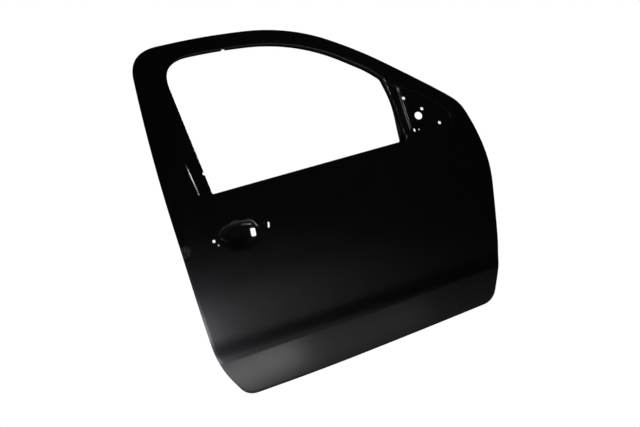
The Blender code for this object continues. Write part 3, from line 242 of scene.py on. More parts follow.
# %% Offsets and distances
def normals(loop, closed=True):
    """Normals to the left of the way round, lengthened so that offsets stay parallel."""
    edge = np.roll(loop, -1, 0) - loop
    side = np.stack([-edge[:, 1], edge[:, 0]], 1) / np.linalg.norm(edge, axis=1)[:, None]
    if not closed:
        side[-1] = side[-2]
    before = np.roll(side, 1, 0)
    if not closed:
        before[0] = side[0]
    total = side + before
    return total / np.maximum(0.5, 1 + (side * before).sum(1))[:, None]


def inset(loop, distance, closed=True):
    """Loop moved inward by a distance."""
    return loop + normals(loop, closed) * distance


def signed(loop, points):
    """Distance from each point to the loop, positive inside it."""
    points = np.atleast_2d(points)
    ahead = np.roll(loop, -1, 0)
    edge = ahead - loop
    length = (edge * edge).sum(1)
    made = np.empty(len(points))
    for first in range(0, len(points), 800):
        p = points[first:first + 800, None, :]
        t = np.clip(((p - loop) * edge).sum(2) / length, 0, 1)
        near = np.sqrt(((loop + edge * t[..., None] - p) ** 2).sum(2).min(1))
        crosses = (loop[:, 1] > p[..., 1]) != (ahead[:, 1] > p[..., 1])
        rise = np.where(edge[:, 1] == 0, 1, edge[:, 1])
        hits = crosses & (p[..., 0] < loop[:, 0] + (p[..., 1] - loop[:, 1]) / rise * edge[:, 0])
        made[first:first + 800] = np.where(hits.sum(1) % 2 == 1, near, -near)
    return made


def area(loop):
    """Area inside a loop, positive when it runs counter-clockwise."""
    x, z = loop[:, 0], loop[:, 1]
    return (x * np.roll(z, -1) - z * np.roll(x, -1)).sum() / 2


print("skin without its holes:", round(float(area(outline) - area(window)), 3), "square metres")

# %% [markdown]
# ## A sheet-metal workbench
#
# A stamping is one open surface with a gauge behind it.  `Sheet` collects that surface: `ring`
# adds a row of points, given over the side view, and `loft` joins rows with faces.  This is how a
# fold or a flange is made, one row after another round the bend.

# %% Rows and lofts
class Sheet:
    """One stamping, as an open surface."""

    def __init__(self):
        self.points, self.faces = [], []

    def ring(self, flat, y):
        """Adds a row of points over the side view; gives back their numbers."""
        first = len(self.points)
        self.points += [(p[0], h, p[1]) for p, h in zip(flat, np.broadcast_to(y, len(flat)))]
        return list(range(first, len(self.points)))

    def loft(self, rings, closed=True):
        """Joins rows with faces, each row to the next."""
        for low, high in zip(rings, rings[1:]):
            for i in range(len(low) if closed else len(low) - 1):
                j = (i + 1) % len(low)
                self.faces.append((low[i], low[j], high[j], high[i]))


trial = Sheet()
trial.loft([trial.ring(outline, 0), trial.ring(inset(outline, MM), 0)])
print("a loft between two rows:", len(trial.faces), "faces")

# %% [markdown]
# ### Guide lines
#
# Between its edges a panel is filled by a triangulation, which knows nothing of bends.  Guide
# lines tell it where the steel bends, so that the bends stay crisp.  A line may not cross an edge
# of the sheet, so each one is cut into the stretches that lie clear of every rim.

# %% Guide lines on the sheet
EDGE_CLEAR = 1.2 * MM


def room(rims, points):
    """Clear distance of points from every rim, negative off the sheet."""
    return np.min([signed(rims[0], points)] + [-signed(rim, points) for rim in rims[1:]], 0)


def clear_runs(line, rims):
    """Stretches of a guide line on the sheet, each led right up to the rim it meets."""
    free = room(rims, line) > EDGE_CLEAR
    runs, run = [], []
    for i, point in enumerate(line):
        if i and free[i] != free[i - 1]:
            inner, outer = (point, line[i - 1]) if free[i] else (line[i - 1], point)
            for _ in range(9):
                middle = (inner + outer) / 2
                if room(rims, middle)[0] > EDGE_CLEAR:
                    inner = middle
                else:
                    outer = middle
            run.append(inner)
        if free[i]:
            run.append(point)
        elif run:
            runs.append(run)
            run = []
    spaced = [np.array([p for i, p in enumerate(r) if not i or
                        np.linalg.norm(p - r[i - 1]) > MM / 4]) for r in runs + [run] if r]
    return [r for r in spaced if len(r) > 1]


level = np.stack([np.linspace(side_x(0), side_x(1), 60), np.full(60, side_z(0.65))], 1)
print("a level line above the sill:", len(clear_runs(level, [outline, window])), "stretches")

# %% [markdown]
# ### A regular grid
#
# Long thin triangles bend badly.  A regular grid of points between the rims keeps all of them
# much the same size.  Points that would crowd a rim or a guide are left out, and a search tree
# finds the nearest one quickly.

# %% Points of a regular grid
GRID_CLEAR = 0.55


def grid(loops, fixed, steps):
    """Regular points that keep away from rims and guides."""
    low, high = loops[0].min(0), loops[0].max(0)
    xs, zs = (np.arange(low[k] + steps[k], high[k], steps[k]) for k in (0, 1))
    spots = np.stack(np.meshgrid(xs, zs), -1).reshape(-1, 2)
    tree = KDTree(len(fixed))
    for i, p in enumerate(fixed):
        tree.insert((p[0], p[1], 0), i)
    tree.balance()
    clear = min(steps) * GRID_CLEAR
    spots = np.array([p for p in spots if tree.find((p[0], p[1], 0))[2] > clear])
    return spots[room(loops, spots) > clear]


spots = grid([outline, window], outline, (30 * MM, 30 * MM))
print("points 30 mm apart on the skin:", len(spots))

# %% [markdown]
# ### What is steel and what is a hole
#
# A triangulation fills everything inside the outer rim, holes too.  Asking of each face whether
# its middle lies on the sheet goes wrong at slivers along a rim.  Walking from face to face
# without crossing a rim is surer, starting from the face that has most room around it.

# %% The faces that are steel
def spread(faces, closed, loops, spots):
    """Faces that can be reached from one surely on the sheet without crossing a rim."""
    beside = {}
    for i, face in enumerate(faces):
        for a, b in zip(face, face[1:] + face[:1]):
            beside.setdefault(frozenset((a, b)), []).append(i)
    centres = np.array([spots[face].mean(0) for face in faces])
    reached = {int(np.argmax(room(loops, centres)))}
    front = list(reached)
    while front:
        face = faces[front.pop()]
        for a, b in zip(face, face[1:] + face[:1]):
            side = frozenset((a, b))
            if side not in closed:
                new = set(beside[side]) - reached
                reached |= new
                front += new
    return [faces[i] for i in sorted(reached)]


corners = np.array([(0.0, 0.0), (1.0, 0.0), (1.0, 1.0), (0.0, 1.0)])
reached = spread([[0, 1, 2], [0, 2, 3]], set(), [corners], corners)
print("a square of two triangles:", len(reached), "reached")

# %% [markdown]
# ### Filling between edges
#
# The side view is meshed flat, and each new point is then lifted onto the die.  Blender's
# constrained triangulation keeps every rim and guide as an edge.  Points of the rims are the ones
# that the lofts already use, so that walls and faces share them.

# %% Filling the side view
TRIANGULATION_ROUNDING = 1e-7


def fill(sheet, rims, lift, guides=(), steps=None):
    """Meshes between rims; steps are the spacings of the regular grid."""
    loops = [np.array([sheet.points[i] for i in rim])[:, [0, 2]] for rim in rims]
    known = [i for rim in rims for i in rim]
    runs = [run for line in guides for run in clear_runs(line, loops)]
    flat, edges, first = [*loops, *runs], [], 0
    for k, row in enumerate(flat):
        count = len(row)
        edges += [(first + i, first + (i + 1) % count)
                  for i in range(count if k < len(loops) else count - 1)]
        first += count
    flat = np.concatenate(flat)
    if steps:
        flat = np.concatenate([flat, grid(loops, flat, steps)])
    spots, lines, faces, origins, sources, _ = delaunay_2d_cdt(
        [Vector(p) for p in flat], edges, [], 0, TRIANGULATION_ROUNDING)
    spots = np.array([tuple(p) for p in spots])
    closed = {frozenset(line) for line, made_from in zip(lines, sources)
              if any(i < len(known) for i in made_from)}
    faces = np.array(spread(faces, closed, loops, spots))
    heights = lift(spots[:, 0], spots[:, 1])
    number = []
    for spot, height, ids in zip(spots, heights, origins):
        held = [known[i] for i in ids if i < len(known)]
        if not held:
            held = sheet.ring([spot], height)
        number.append(held[0])
    sheet.faces += [tuple(number[i] for i in face) for face in faces]


trial = Sheet()
fill(trial, [trial.ring(outline, 0), trial.ring(window, 0)], lambda x, z: 0 * x)
print("a flat skin without guides:", len(trial.faces), "faces")

# %% [markdown]
# ### The gauge
#
# A Solidify modifier gives the open surface the thickness of the steel.  It is applied at once,
# so that each piece is a plain mesh.  Faces have to point outward first, or the gauge would
# grow the wrong way.  Bends sharper than a set angle are shaded as edges, and all others as
# curves.

# %% Pressing a sheet
SHARP_ANGLE = radians(38)
WELD = MM / 50


def new_object(name, data):
    """Links a new object into the scene."""
    made = bpy.data.objects.new(name, data)
    bpy.context.scene.collection.objects.link(made)
    return made


def flatten(item):
    """Turns the result of an object's modifiers into its own plain mesh."""
    depsgraph = bpy.context.evaluated_depsgraph_get()
    mesh = bpy.data.meshes.new_from_object(item.evaluated_get(depsgraph), depsgraph=depsgraph)
    item.modifiers.clear()
    item.data = mesh
    return item


def edit_mesh(mesh, *steps):
    """Runs steps on a mesh through a bmesh, and writes it back."""
    bm = bmesh.new()
    bm.from_mesh(mesh)
    for step in steps:
        step(bm)
    bm.to_mesh(mesh)
    bm.free()
    return mesh


def shade(item, sharp=SHARP_ANGLE):
    """Shades a piece as curved, but for bends sharper than this."""
    item.data.shade_smooth()
    item.data.set_sharp_from_angle(angle=sharp)


def press(sheet, name, gauge, facing):
    """Makes the object; the open surface faces `facing` and the gauge lies behind it."""
    mesh = bpy.data.meshes.new(name)
    mesh.from_pydata(sheet.points, [], sheet.faces)

    def face_outward(bm):
        bmesh.ops.remove_doubles(bm, verts=bm.verts, dist=WELD)
        bmesh.ops.recalc_face_normals(bm, faces=bm.faces)
        if sum((f.normal * f.calc_area() for f in bm.faces), Vector()).dot(facing) < 0:
            bmesh.ops.reverse_faces(bm, faces=bm.faces)

    made = new_object(name, edit_mesh(mesh, face_outward))
    steel = made.modifiers.new("gauge", "SOLIDIFY")
    steel.thickness, steel.offset = gauge, -1
    flatten(made)
    shade(made)
    print(name, len(made.data.polygons), "faces")
    return made

# %% [markdown]
# ## Pressed recesses
#
# The handle bowl, the mirror patch, the step along the window post and the one on the rear pillar
# are pressed into the skin.  Each has an outline, a depth and a sloping wall.  The depth at a
# point comes from how far inside the outline it lies, eased over the width of that wall.

# %% One recess
class Pressing:
    """An outline pressed into the skin, with a sloping wall."""

    def __init__(self, corners, depth, wall, foot=None, foot_share=None, fade=None):
        self.loop = rounded(corners, 5 * MM)
        self.depth, self.wall, self.foot = depth, wall, foot
        self.foot_z = side_z(foot_share) if foot else 0
        self.low = self.loop[:, 1].min()
        self.fade = fade

    def wall_at(self, z):
        """Width of the sloping wall at this height."""
        if not self.foot:
            return np.full_like(z, self.wall)
        return mix(self.wall, self.foot, smooth((self.foot_z - z) / (self.foot_z - self.low)))

    def guides(self, count=6):
        """Lines round the wall, where the steel bends."""
        lines = []
        for share in np.linspace(0, 1, count + 1):
            line = self.loop + normals(self.loop) * (self.wall_at(self.loop[:, 1]) * share)[:, None]
            lines.append(np.concatenate([line, line[:1]]))
        return lines

    def depth_at(self, x, z):
        """How far the skin is pressed in."""
        points = np.stack([x, z], 1)
        depth = self.depth * smooth(signed(self.loop, points) / self.wall_at(z))
        if self.fade:
            top, low = (side_z(share) for share in self.fade)
            depth = depth * smooth((top - z) / (top - low))
        return depth


dent = Pressing(((0.3, 0.3, 0.5), (0.4, 0.3, 0.5), (0.4, 0.4, 0.5), (0.3, 0.4, 0.5)),
                depth=10 * MM, wall=8 * MM)
middle = place((0.35, 0.35))[:, None]
print("a trial recess:", round(float(dent.depth_at(*middle)[0]) / MM, 1), "mm deep in its middle")

# %% [markdown]
# ### The four recesses
#
# The bowl opens out at its foot, where fingers go in under the handle, so its wall gets wider
# there.  The steps on post and pillar fade out towards the roof, because the frame above them is
# one smooth section.  All four are added up, so the skin has one depth at every place.

# %% Bowl, post, patch and pillar
bowl = Pressing(((0.138, 0.393, 0.80), (0.196, 0.378, 1.00), (0.238, 0.397, 0.60),
                 (0.243, 0.430, 0.60), (0.227, 0.450, 0.70), (0.182, 0.459, 1.00),
                 (0.143, 0.455, 1.00), (0.116, 0.436, 0.70)),
                depth=13 * MM, wall=8 * MM, foot=66 * MM, foot_share=0.455)
post = Pressing(((0.733, 0.524, 0.0), (0.789, 0.545, 0.2), (0.792, 0.566, 0.5),
                 (0.804, 0.665, 0.5), (0.803, 0.695, 0.6), (0.785, 0.726, 0.5),
                 (0.733, 0.736, 0.0)), depth=5 * MM, wall=6 * MM, fade=(0.700, 0.650))
patch = Pressing(((0.728, 0.512, 0.00), (0.856, 0.508, 1.00), (0.931, 0.520, 0.60),
                  (0.932, 0.566, 0.60), (0.885, 0.623, 1.00), (0.841, 0.659, 1.00),
                  (0.803, 0.682, 1.00), (0.728, 0.735, 0.00)),
                 depth=2.5 * MM, wall=8 * MM, foot=30 * MM, foot_share=0.560)
pillar = Pressing(((0.180, 0.750, 0.0), (0.097, 0.750, 0.0), (0.097, 0.676, 0.5),
                   (0.105, 0.553, 0.2), (0.180, 0.551, 0.0)),
                  depth=5 * MM, wall=11 * MM, fade=(0.725, 0.600))
recesses = (bowl, post, patch, pillar)


def relief(x, z):
    """How far the recesses push the skin in."""
    return sum(item.depth_at(x, z) for item in recesses)


print("recesses:", [round(item.depth / MM, 1) for item in recesses], "mm deep")

# %% [markdown]
# ## The outer panel
#
# The skin is folded right over the edge of the inner panel.  That fold, the hem, is what gives a
# door its thick rounded edge.  Its rows run from the end of the folded leg, round a half circle,
# and back onto the face.

# %% The hem
HEM_LEG = 9 * MM
HEM_FLANGE = 10.5 * MM
HEM_RADIUS = FIT_GAP + SKIN_GAUGE + INNER_GAUGE / 2


def hem_rows(sheet, radius):
    """The fold over the inner panel, from the end of its leg round to the face."""
    rows = [(HEM_LEG, 2 * radius)]
    rows += [(radius * (1 - sin(a)), radius * (1 - cos(a))) for a in np.linspace(pi, 0, 9)]
    rows.append((HEM_FLANGE, 0.0))
    made = []
    for distance, depth in rows:
        line = inset(outline, distance)
        made.append(sheet.ring(line, inside_y(line[:, 0], line[:, 1], depth)))
    return made


print("hem:", round(2 * HEM_RADIUS / MM, 1), "mm over its fold")

# %% [markdown]
# ### The edge round the window
#
# On the frame the window edge turns in as a flange.  Along the sill it folds down on itself
# instead, to stiffen the belt.  A weight of 0 on the sill and 1 on the frame mixes the two, so
# the edge twists from one into the other at the corners, as the real one does.

# %% Flange and folded sill
WINDOW_FOLD = 3 * MM
WINDOW_FLANGE = 18 * MM
BELT_LEG = 16 * MM
CORNER_START = 6 * MM
CORNER_BLEND = 30 * MM


def sill_z(x):
    """Height of the window sill at x."""
    front, rear = place(WINDOW[0]), place(WINDOW[-1])
    return mix(rear[1], front[1], (x - rear[0]) / (front[0] - rear[0]))


def frame_weight(loop):
    """0 along the sill, 1 on the window frame."""
    return smooth((loop[:, 1] - sill_z(loop[:, 0]) - CORNER_START) / CORNER_BLEND)


weights = frame_weight(window)
print("weights from", round(float(weights.min()), 2), "to", round(float(weights.max()), 2))

# %% [markdown]
# ### Rows of the window edge
#
# The glass seal is located by small half-round notches.  The rear one is cut in this fold, so the
# outline gets close points round it, and each row is moved out by the depth of the notch.  A
# recess that meets the window is carried a little way round the bend.

# %% Rows of the window edge
NOTCH_RADIUS = 5.8 * MM
NOTCHES = ((0.1426, 0.6104), (0.3357, 0.9319), (0.7572, 0.5823))


def notched(loop, spot, radius, parts=12):
    """Loop with close points round a spot on it, and how far a half-round notch moves each."""
    i = int(np.argmin(np.linalg.norm(loop - spot, axis=1)))
    along = loop[(i + 1) % len(loop)] - loop[i - 1]
    along = along / np.linalg.norm(along)
    centre = loop[i] + along * ((spot - loop[i]) @ along)
    turn = np.linspace(0, pi, parts + 1)
    near = np.linalg.norm(loop - centre, axis=1) < radius * 1.3
    first = int(np.argmax(near))
    kept = [p for p in loop[:first]], [p for p in loop[first:][~near[first:]]]
    extra = [centre - along * radius * cos(a) for a in turn]
    move = np.zeros(len(kept[0]) + len(extra) + len(kept[1]))
    move[len(kept[0]):len(kept[0]) + len(extra)] = radius * np.sin(turn)
    return np.array(kept[0] + extra + kept[1]), move


def window_rows(sheet):
    """The edge round the window: flange on the frame, folded leg along the sill."""
    r = WINDOW_FOLD
    quarter = [(r * (1 - sin(a)), r * (1 - cos(a))) for a in np.linspace(0, pi / 2, 6)]
    under = [(r * (1 - sin(a)), r * (1 - cos(a))) for a in np.linspace(pi / 2, pi, 6)[1:]]
    belt = quarter + under + [(BELT_LEG, 2 * r)]
    flange = quarter + [(0, depth) for depth in np.linspace(r, WINDOW_FLANGE, 7)[1:]]
    loop, notch = notched(window, place(NOTCHES[0]), NOTCH_RADIUS)
    weight, out = frame_weight(loop), normals(loop)
    made = []
    for (low_out, low_in), (high_out, high_in) in zip(belt, flange):
        line = loop - out * (mix(low_out, high_out, weight) + notch)[:, None]
        depth = mix(low_in, high_in, weight)
        y = inside_y(line[:, 0], line[:, 1], depth)
        y = y + relief(line[:, 0], line[:, 1]) * (1 - smooth(depth / (2 * r)))
        made.append(sheet.ring(line, y))
    return made


print("flange:", round(WINDOW_FLANGE / MM), "mm, leg on the sill:", round(BELT_LEG / MM), "mm")

# %% [markdown]
# ### Holes in the skin
#
# The handle goes through two slots, the key through a round hole, and the mirror through a group
# of holes in its patch.  They are drawn as outlines and left open when the skin is filled.  A
# Boolean could pierce them later, but outlines give a clean mesh at once.

# %% Holes in the skin
HANDLE_SLOTS = (((0.2205, 0.4185), (7.6 * MM, 13.5 * MM)), ((0.2605, 0.4245), (13 * MM, 11.5 * MM)))
SLOT_TILT = radians(-10)
KEY_HOLE = (0.104, 0.429)
KEY_RADIUS = 5 * MM
SCREW_HOLE = (0.113, 0.415)
SCREW_RADIUS = 2 * MM
HOOK_SLOT = (0.797, 0.543)
HOOK_HALF = (3 * MM, 5.2 * MM)
PIN_HOLE = (0.812, 0.541)
PIN_RADIUS = 2.2 * MM
WIRING_HOLE = (0.828, 0.579)
WIRING_RADIUS = 13.8 * MM
MIRROR_BOLTS = ((0.806, 0.640), (0.848, 0.595), (0.885, 0.541))
BOLT_RADIUS = 5.4 * MM


def circle(centre, radius, sides=40):
    """Round outline in the side view."""
    turn = np.linspace(0, 2 * pi, sides, endpoint=False)
    return np.asarray(centre) + radius * np.stack([np.cos(turn), np.sin(turn)], 1)


def slot_outline(centre, half, tilt, sides=5):
    """Rectangle with rounded corners, tilted."""
    radius = min(half) / 2
    points = []
    for k, (sx, sz) in enumerate(((1, 1), (-1, 1), (-1, -1), (1, -1))):
        for a in np.linspace(k * pi / 2, (k + 1) * pi / 2, sides):
            points.append((sx * (half[0] - radius) + radius * cos(a),
                           sz * (half[1] - radius) + radius * sin(a)))
    turn = np.array([[cos(tilt), -sin(tilt)], [sin(tilt), cos(tilt)]])
    return np.asarray(centre) + np.array(points) @ turn.T


def skin_holes():
    """Handle, key and mirror holes, as they are pierced."""
    loops = [slot_outline(place(spot), half, SLOT_TILT) for spot, half in HANDLE_SLOTS]
    loops += [circle(place(KEY_HOLE), KEY_RADIUS, 28), circle(place(SCREW_HOLE), SCREW_RADIUS, 14),
              slot_outline(place(HOOK_SLOT), HOOK_HALF, 0, 4),
              circle(place(PIN_HOLE), PIN_RADIUS, 14), circle(place(WIRING_HOLE), WIRING_RADIUS)]
    return loops + [circle(place(spot), BOLT_RADIUS, 28) for spot in MIRROR_BOLTS]


print("holes in the skin:", len(skin_holes()))

# %% [markdown]
# ### Pressing the skin
#
# Now the rows are lofted and the face between them is filled on the die.  Guide lines run down
# the swage, over its crest, along the shoulder and round the walls of the recesses.  Without them
# the triangles would cut across the bends, and the reflections would break up.

# %% Pressing the skin
SKIN_GRID = (14 * MM, 9 * MM)


def swage_lines():
    """Guide lines down the swage, over its crest and along the shoulder."""
    xs = np.linspace(side_x(-0.01), side_x(1.01), 96)
    top, crest = slope_line(SWAGE_TOP, xs), slope_line(CREST, xs)
    heights = [mix(top, crest, share) for share in (0, 0.2, 0.4, 0.6, 0.8)]
    heights += [crest + k * DIE_RADIUS / 2 for k in (-3, -2, -1, 0, 1, 2, 3)]
    shoulder = slope_line(SHOULDER, xs)
    heights += [shoulder + k * DIE_RADIUS for k in (-4, -2, -1, 0, 1, 2, 4)]
    return [np.stack([xs, z], 1) for z in heights]


def make_outer_panel():
    """The skin, from its hem to its window edge."""
    sheet = Sheet()
    hem = hem_rows(sheet, HEM_RADIUS)
    edge = window_rows(sheet)
    sheet.loft(hem)
    sheet.loft(edge)

    def die(x, z):
        return skin_y(x, z) + relief(x, z)

    holes = [sheet.ring(loop, die(loop[:, 0], loop[:, 1])) for loop in skin_holes()]
    guides = swage_lines()
    for item in recesses:
        guides += item.guides()
    fill(sheet, [hem[-1], edge[0]] + holes, die, guides, SKIN_GRID)
    return press(sheet, "door_skin", SKIN_GAUGE, Vector((0, -1, 0)))


door_skin = make_outer_panel()

# %% [markdown]
# ## The inner panel
#
# The inner panel is the deeper drawing of the two.  From the hem it runs along the skin, turns
# inboard as the shut face that carries hinges and latch, then lies flat as the land that the
# weather seal presses on.  A step further in is the face that takes the trim.

# %% Outlines and depths of the inner panel
WALL = (
    (0.846, 0.016, 0.50), (0.909, 0.098, 0.95), (0.909, 0.220, 0.25), (0.971, 0.403, 0.25),
    (0.971, 0.505, 0.25), (0.945, 0.560, 1.00), (0.911, 0.616, 1.00), (0.740, 0.796, 1.00),
    (0.608, 0.891, 1.00), (0.479, 0.944, 1.00), (0.288, 0.974, 1.00), (0.079, 0.9890, 0.79),
    (0.048, 0.771, 1.00), (0.030, 0.578, 0.60), (0.023, 0.505, 0.25), (0.023, 0.320, 0.25),
    (0.019, 0.250, 1.00), (0.019, 0.109, 1.00), (0.068, 0.017, 0.53), (0.284, 0.015, 1.00))
TRIM = (
    (0.834, 0.043, 0.40), (0.885, 0.092, 0.40), (0.885, 0.232, 0.40), (0.943, 0.397, 0.40),
    (0.943, 0.479, 0.40), (0.883, 0.481, 0.60), (0.090, 0.512, 0.40), (0.055, 0.479, 0.60),
    (0.050, 0.109, 0.40), (0.081, 0.043, 0.40))
LAND_REACH = 33 * MM
LAND_BLEND = (0.556, 0.720)
FRAME_DEPTH = 46 * MM
INNER_DEPTH = SKIN_GAUGE + FIT_GAP + INNER_GAUGE
wall = rounded(WALL, 8 * MM)


def land_y(x, z):
    """Seal land: flat on the body, parallel to the skin on the window frame."""
    low, high = (side_z(share) for share in LAND_BLEND)
    return mix(LAND_REACH, inside_y(x, z, FRAME_DEPTH), smooth((z - low) / (high - low)))


print("inner panel:", round((LAND_REACH + SKIN_REACH) / MM), "mm from the skin to the seal land")

# %% [markdown]
# ### Shut face and jamb
#
# The shut face is drafted, which means that it flares a little towards the press opening, or the
# panel would stick on its punch.  Where hinges and latch are bolted on it is upright.  Round the
# window the panel turns outboard again, as the jamb that meets the glass channel.

# %% Shut face and window jamb
WALL_FOOT = 4 * MM
WALL_TOP = 6 * MM
WALL_DRAFT = 6 * MM
WALL_FLAT = 0.92
LIFT_OFF = 2.5 * MM
JAMB_FOLD = 5 * MM
BELT_RETURN = 18 * MM
CHANNEL_WIDTH = 17.8 * MM


def wall_draft(out):
    """How far the shut face flares, from its normals; none where it faces forward or back."""
    return WALL_DRAFT * (1 - smooth((np.abs(out[:, 0]) - WALL_FLAT) / (1 - WALL_FLAT)))


def wall_rows(sheet):
    """Shut face, with a radius at its foot and at the seal land."""
    out = normals(wall)
    draft = wall_draft(out)
    made = []
    for a in np.linspace(0, pi / 2, 5):
        line = wall - out * (WALL_FOOT * (1 - sin(a)))
        y = inside_y(line[:, 0], line[:, 1], INNER_DEPTH + LIFT_OFF) + WALL_FOOT * (1 - cos(a))
        made.append(sheet.ring(line, y))
    for a in np.linspace(pi / 2, 0, 7):
        line = wall + out * (draft + WALL_TOP * (1 - sin(a)))[:, None]
        y = land_y(line[:, 0], line[:, 1]) - WALL_TOP * (1 - cos(a))
        made.append(sheet.ring(line, y))
    return made


def jamb_rows(sheet):
    """Window edge of the inner panel, turned outboard to the glass channel."""
    back = WINDOW_FLANGE + 3 * FIT_GAP + CHANNEL_WIDTH
    out = normals(window)
    made = []
    for a in np.linspace(0, pi / 2, 6):
        line = window - out * (JAMB_FOLD * (1 - sin(a)))
        y = land_y(line[:, 0], line[:, 1]) - JAMB_FOLD * (1 - cos(a))
        made.append(sheet.ring(line, y))
    land = land_y(window[:, 0], window[:, 1])
    end = mix(land - BELT_RETURN, inside_y(window[:, 0], window[:, 1], back), frame_weight(window))
    for share in (0.5, 1):
        made.append(sheet.ring(window, mix(land - JAMB_FOLD, end, share)))
    return made


print("largest draft:", round(float(wall_draft(normals(wall)).max()) / MM, 1), "mm")

# %% [markdown]
# ### Beads
#
# Long beads keep the flat trim face from drumming.  They are part of its height rule: a bead is
# deepest along a straight line and eases out over its wall.  Capsules at rising distances serve
# as guide lines round it.

# %% Beads of the trim face
BEADS = (((0.152, 0.270), (0.270, 0.268)), ((0.333, 0.160), (0.333, 0.400)),
         ((0.150, 0.078), (0.560, 0.078)), ((0.680, 0.270), (0.660, 0.430)),
         ((0.745, 0.270), (0.745, 0.430)), ((0.820, 0.300), (0.860, 0.430)))
BEAD_DEPTH = 5 * MM
BEAD_RADIUS = 13 * MM
BEAD_WALL = 6 * MM
TRIM_STEP = 12 * MM


def bead_depth(x, z):
    """How far the beads stand outboard of the trim face."""
    points, depth = np.stack([x, z], 1), 0
    for start, end in BEADS:
        a, b = place(start), place(end)
        t = np.clip((points - a) @ (b - a) / ((b - a) @ (b - a)), 0, 1)
        away = np.linalg.norm(points - a - t[:, None] * (b - a), axis=1)
        depth = np.maximum(depth, BEAD_DEPTH * smooth((BEAD_RADIUS + BEAD_WALL - away) / BEAD_WALL))
    return depth


def trim_y(x, z):
    """Trim face, with its beads."""
    return LAND_REACH + TRIM_STEP - bead_depth(x, z)


def capsule(start, end, radius, sides=12):
    """Outline of a bead: a straight stretch with round ends."""
    angle = atan2(*(end - start)[::-1])
    ends = []
    for centre, turn in ((end, angle - pi / 2), (start, angle + pi / 2)):
        a = turn + np.linspace(0, pi, sides + 1)
        ends.append(centre + radius * np.stack([np.cos(a), np.sin(a)], 1))
    return np.concatenate(ends)


print("beads:", len(BEADS), "each", round(2 * BEAD_RADIUS / MM), "mm wide")

# %% [markdown]
# ### Step and lipped holes
#
# Hands and tools reach the mechanism through large holes, and their lips are turned in, for
# strength and for the fitter's hands.  Lips, and the step from the seal land to the trim face,
# are lofted rows like the hem.

# %% Step and lipped holes
TRIM_WALL = 8 * MM
LIP = 4 * MM
LIP_RADIUS = 3 * MM


def lipped_hole(sheet, loop):
    """Hole whose edge is turned in, for strength and for the fitter's hands."""
    rows = []
    for a in np.linspace(0, pi / 2, 5):
        line = inset(loop, -LIP_RADIUS * (1 - sin(a)))
        rows.append(sheet.ring(line, trim_y(line[:, 0], line[:, 1]) - LIP_RADIUS * (1 - cos(a))))
    rows.append(sheet.ring(loop, trim_y(loop[:, 0], loop[:, 1]) - LIP_RADIUS - LIP))
    sheet.loft(rows)
    return rows[0]


def eased_step(sheet, loop):
    """Step from the seal land in to the trim face."""
    rows = []
    for share in np.linspace(0, 1, 7):
        line = inset(loop, TRIM_WALL * share)
        y = land_y(line[:, 0], line[:, 1]) + TRIM_STEP * smooth(share)
        rows.append(sheet.ring(line, y))
    sheet.loft(rows)
    return rows


print("trim face:", round((LAND_REACH + TRIM_STEP) / MM), "mm inboard of the hinge line")

# %% [markdown]
# ### Holes of the inner panel
#
# Three large holes give room for hands and tools, and a round one takes the loudspeaker.  The
# cable has a hole of its own, a ring of small ones holds the clips of the trim, and one behind
# the mirror lets its nuts be reached.  Each is an outline, as the holes of the skin are.

# %% Holes of the inner panel
ACCESS = (((0.620, 0.170, 0.50), (0.640, 0.300, 0.80), (0.590, 0.405, 0.60), (0.380, 0.412, 0.50),
           (0.352, 0.300, 0.80), (0.362, 0.150, 0.50)),
          ((0.302, 0.300, 0.60), (0.316, 0.440, 0.50), (0.230, 0.474, 0.80), (0.095, 0.470, 0.50),
           (0.085, 0.300, 0.60)),
          ((0.300, 0.105, 0.60), (0.300, 0.235, 0.60), (0.095, 0.240, 0.60),
           (0.100, 0.105, 0.60)))
SAIL_HOLE = ((0.925, 0.530, 0.60), (0.925, 0.570, 0.60), (0.860, 0.625, 0.80),
             (0.808, 0.672, 0.50), (0.796, 0.600, 0.80), (0.790, 0.530, 0.40))
SPEAKER_HOLE = (0.748, 0.154)
SPEAKER_RADIUS = 80 * MM
CABLE_HOLE = (0.883, 0.330)
CABLE_RADIUS = 18 * MM
CLIPS = ((0.865, 0.150), (0.869, 0.240), (0.925, 0.405), (0.925, 0.462), (0.700, 0.472),
         (0.500, 0.478), (0.340, 0.485), (0.070, 0.440), (0.066, 0.270), (0.066, 0.140),
         (0.200, 0.062), (0.420, 0.058), (0.620, 0.058))
CLIP_RADIUS = 4 * MM

print("holes of the inner panel:", len(ACCESS) + len(CLIPS) + 3)

# %% [markdown]
# ### Pressing the inner panel
#
# Three areas are filled: the strip along the skin, the seal land and the trim face.  Each has its
# own height rule, and their rims are the rows that the walls and steps end on, so the whole panel
# is one closed sheet of steel from the hem to the jamb.

# %% Pressing the inner panel
LAND_GRID = (16 * MM, 10 * MM)
TRIM_GRID = (25 * MM, 25 * MM)


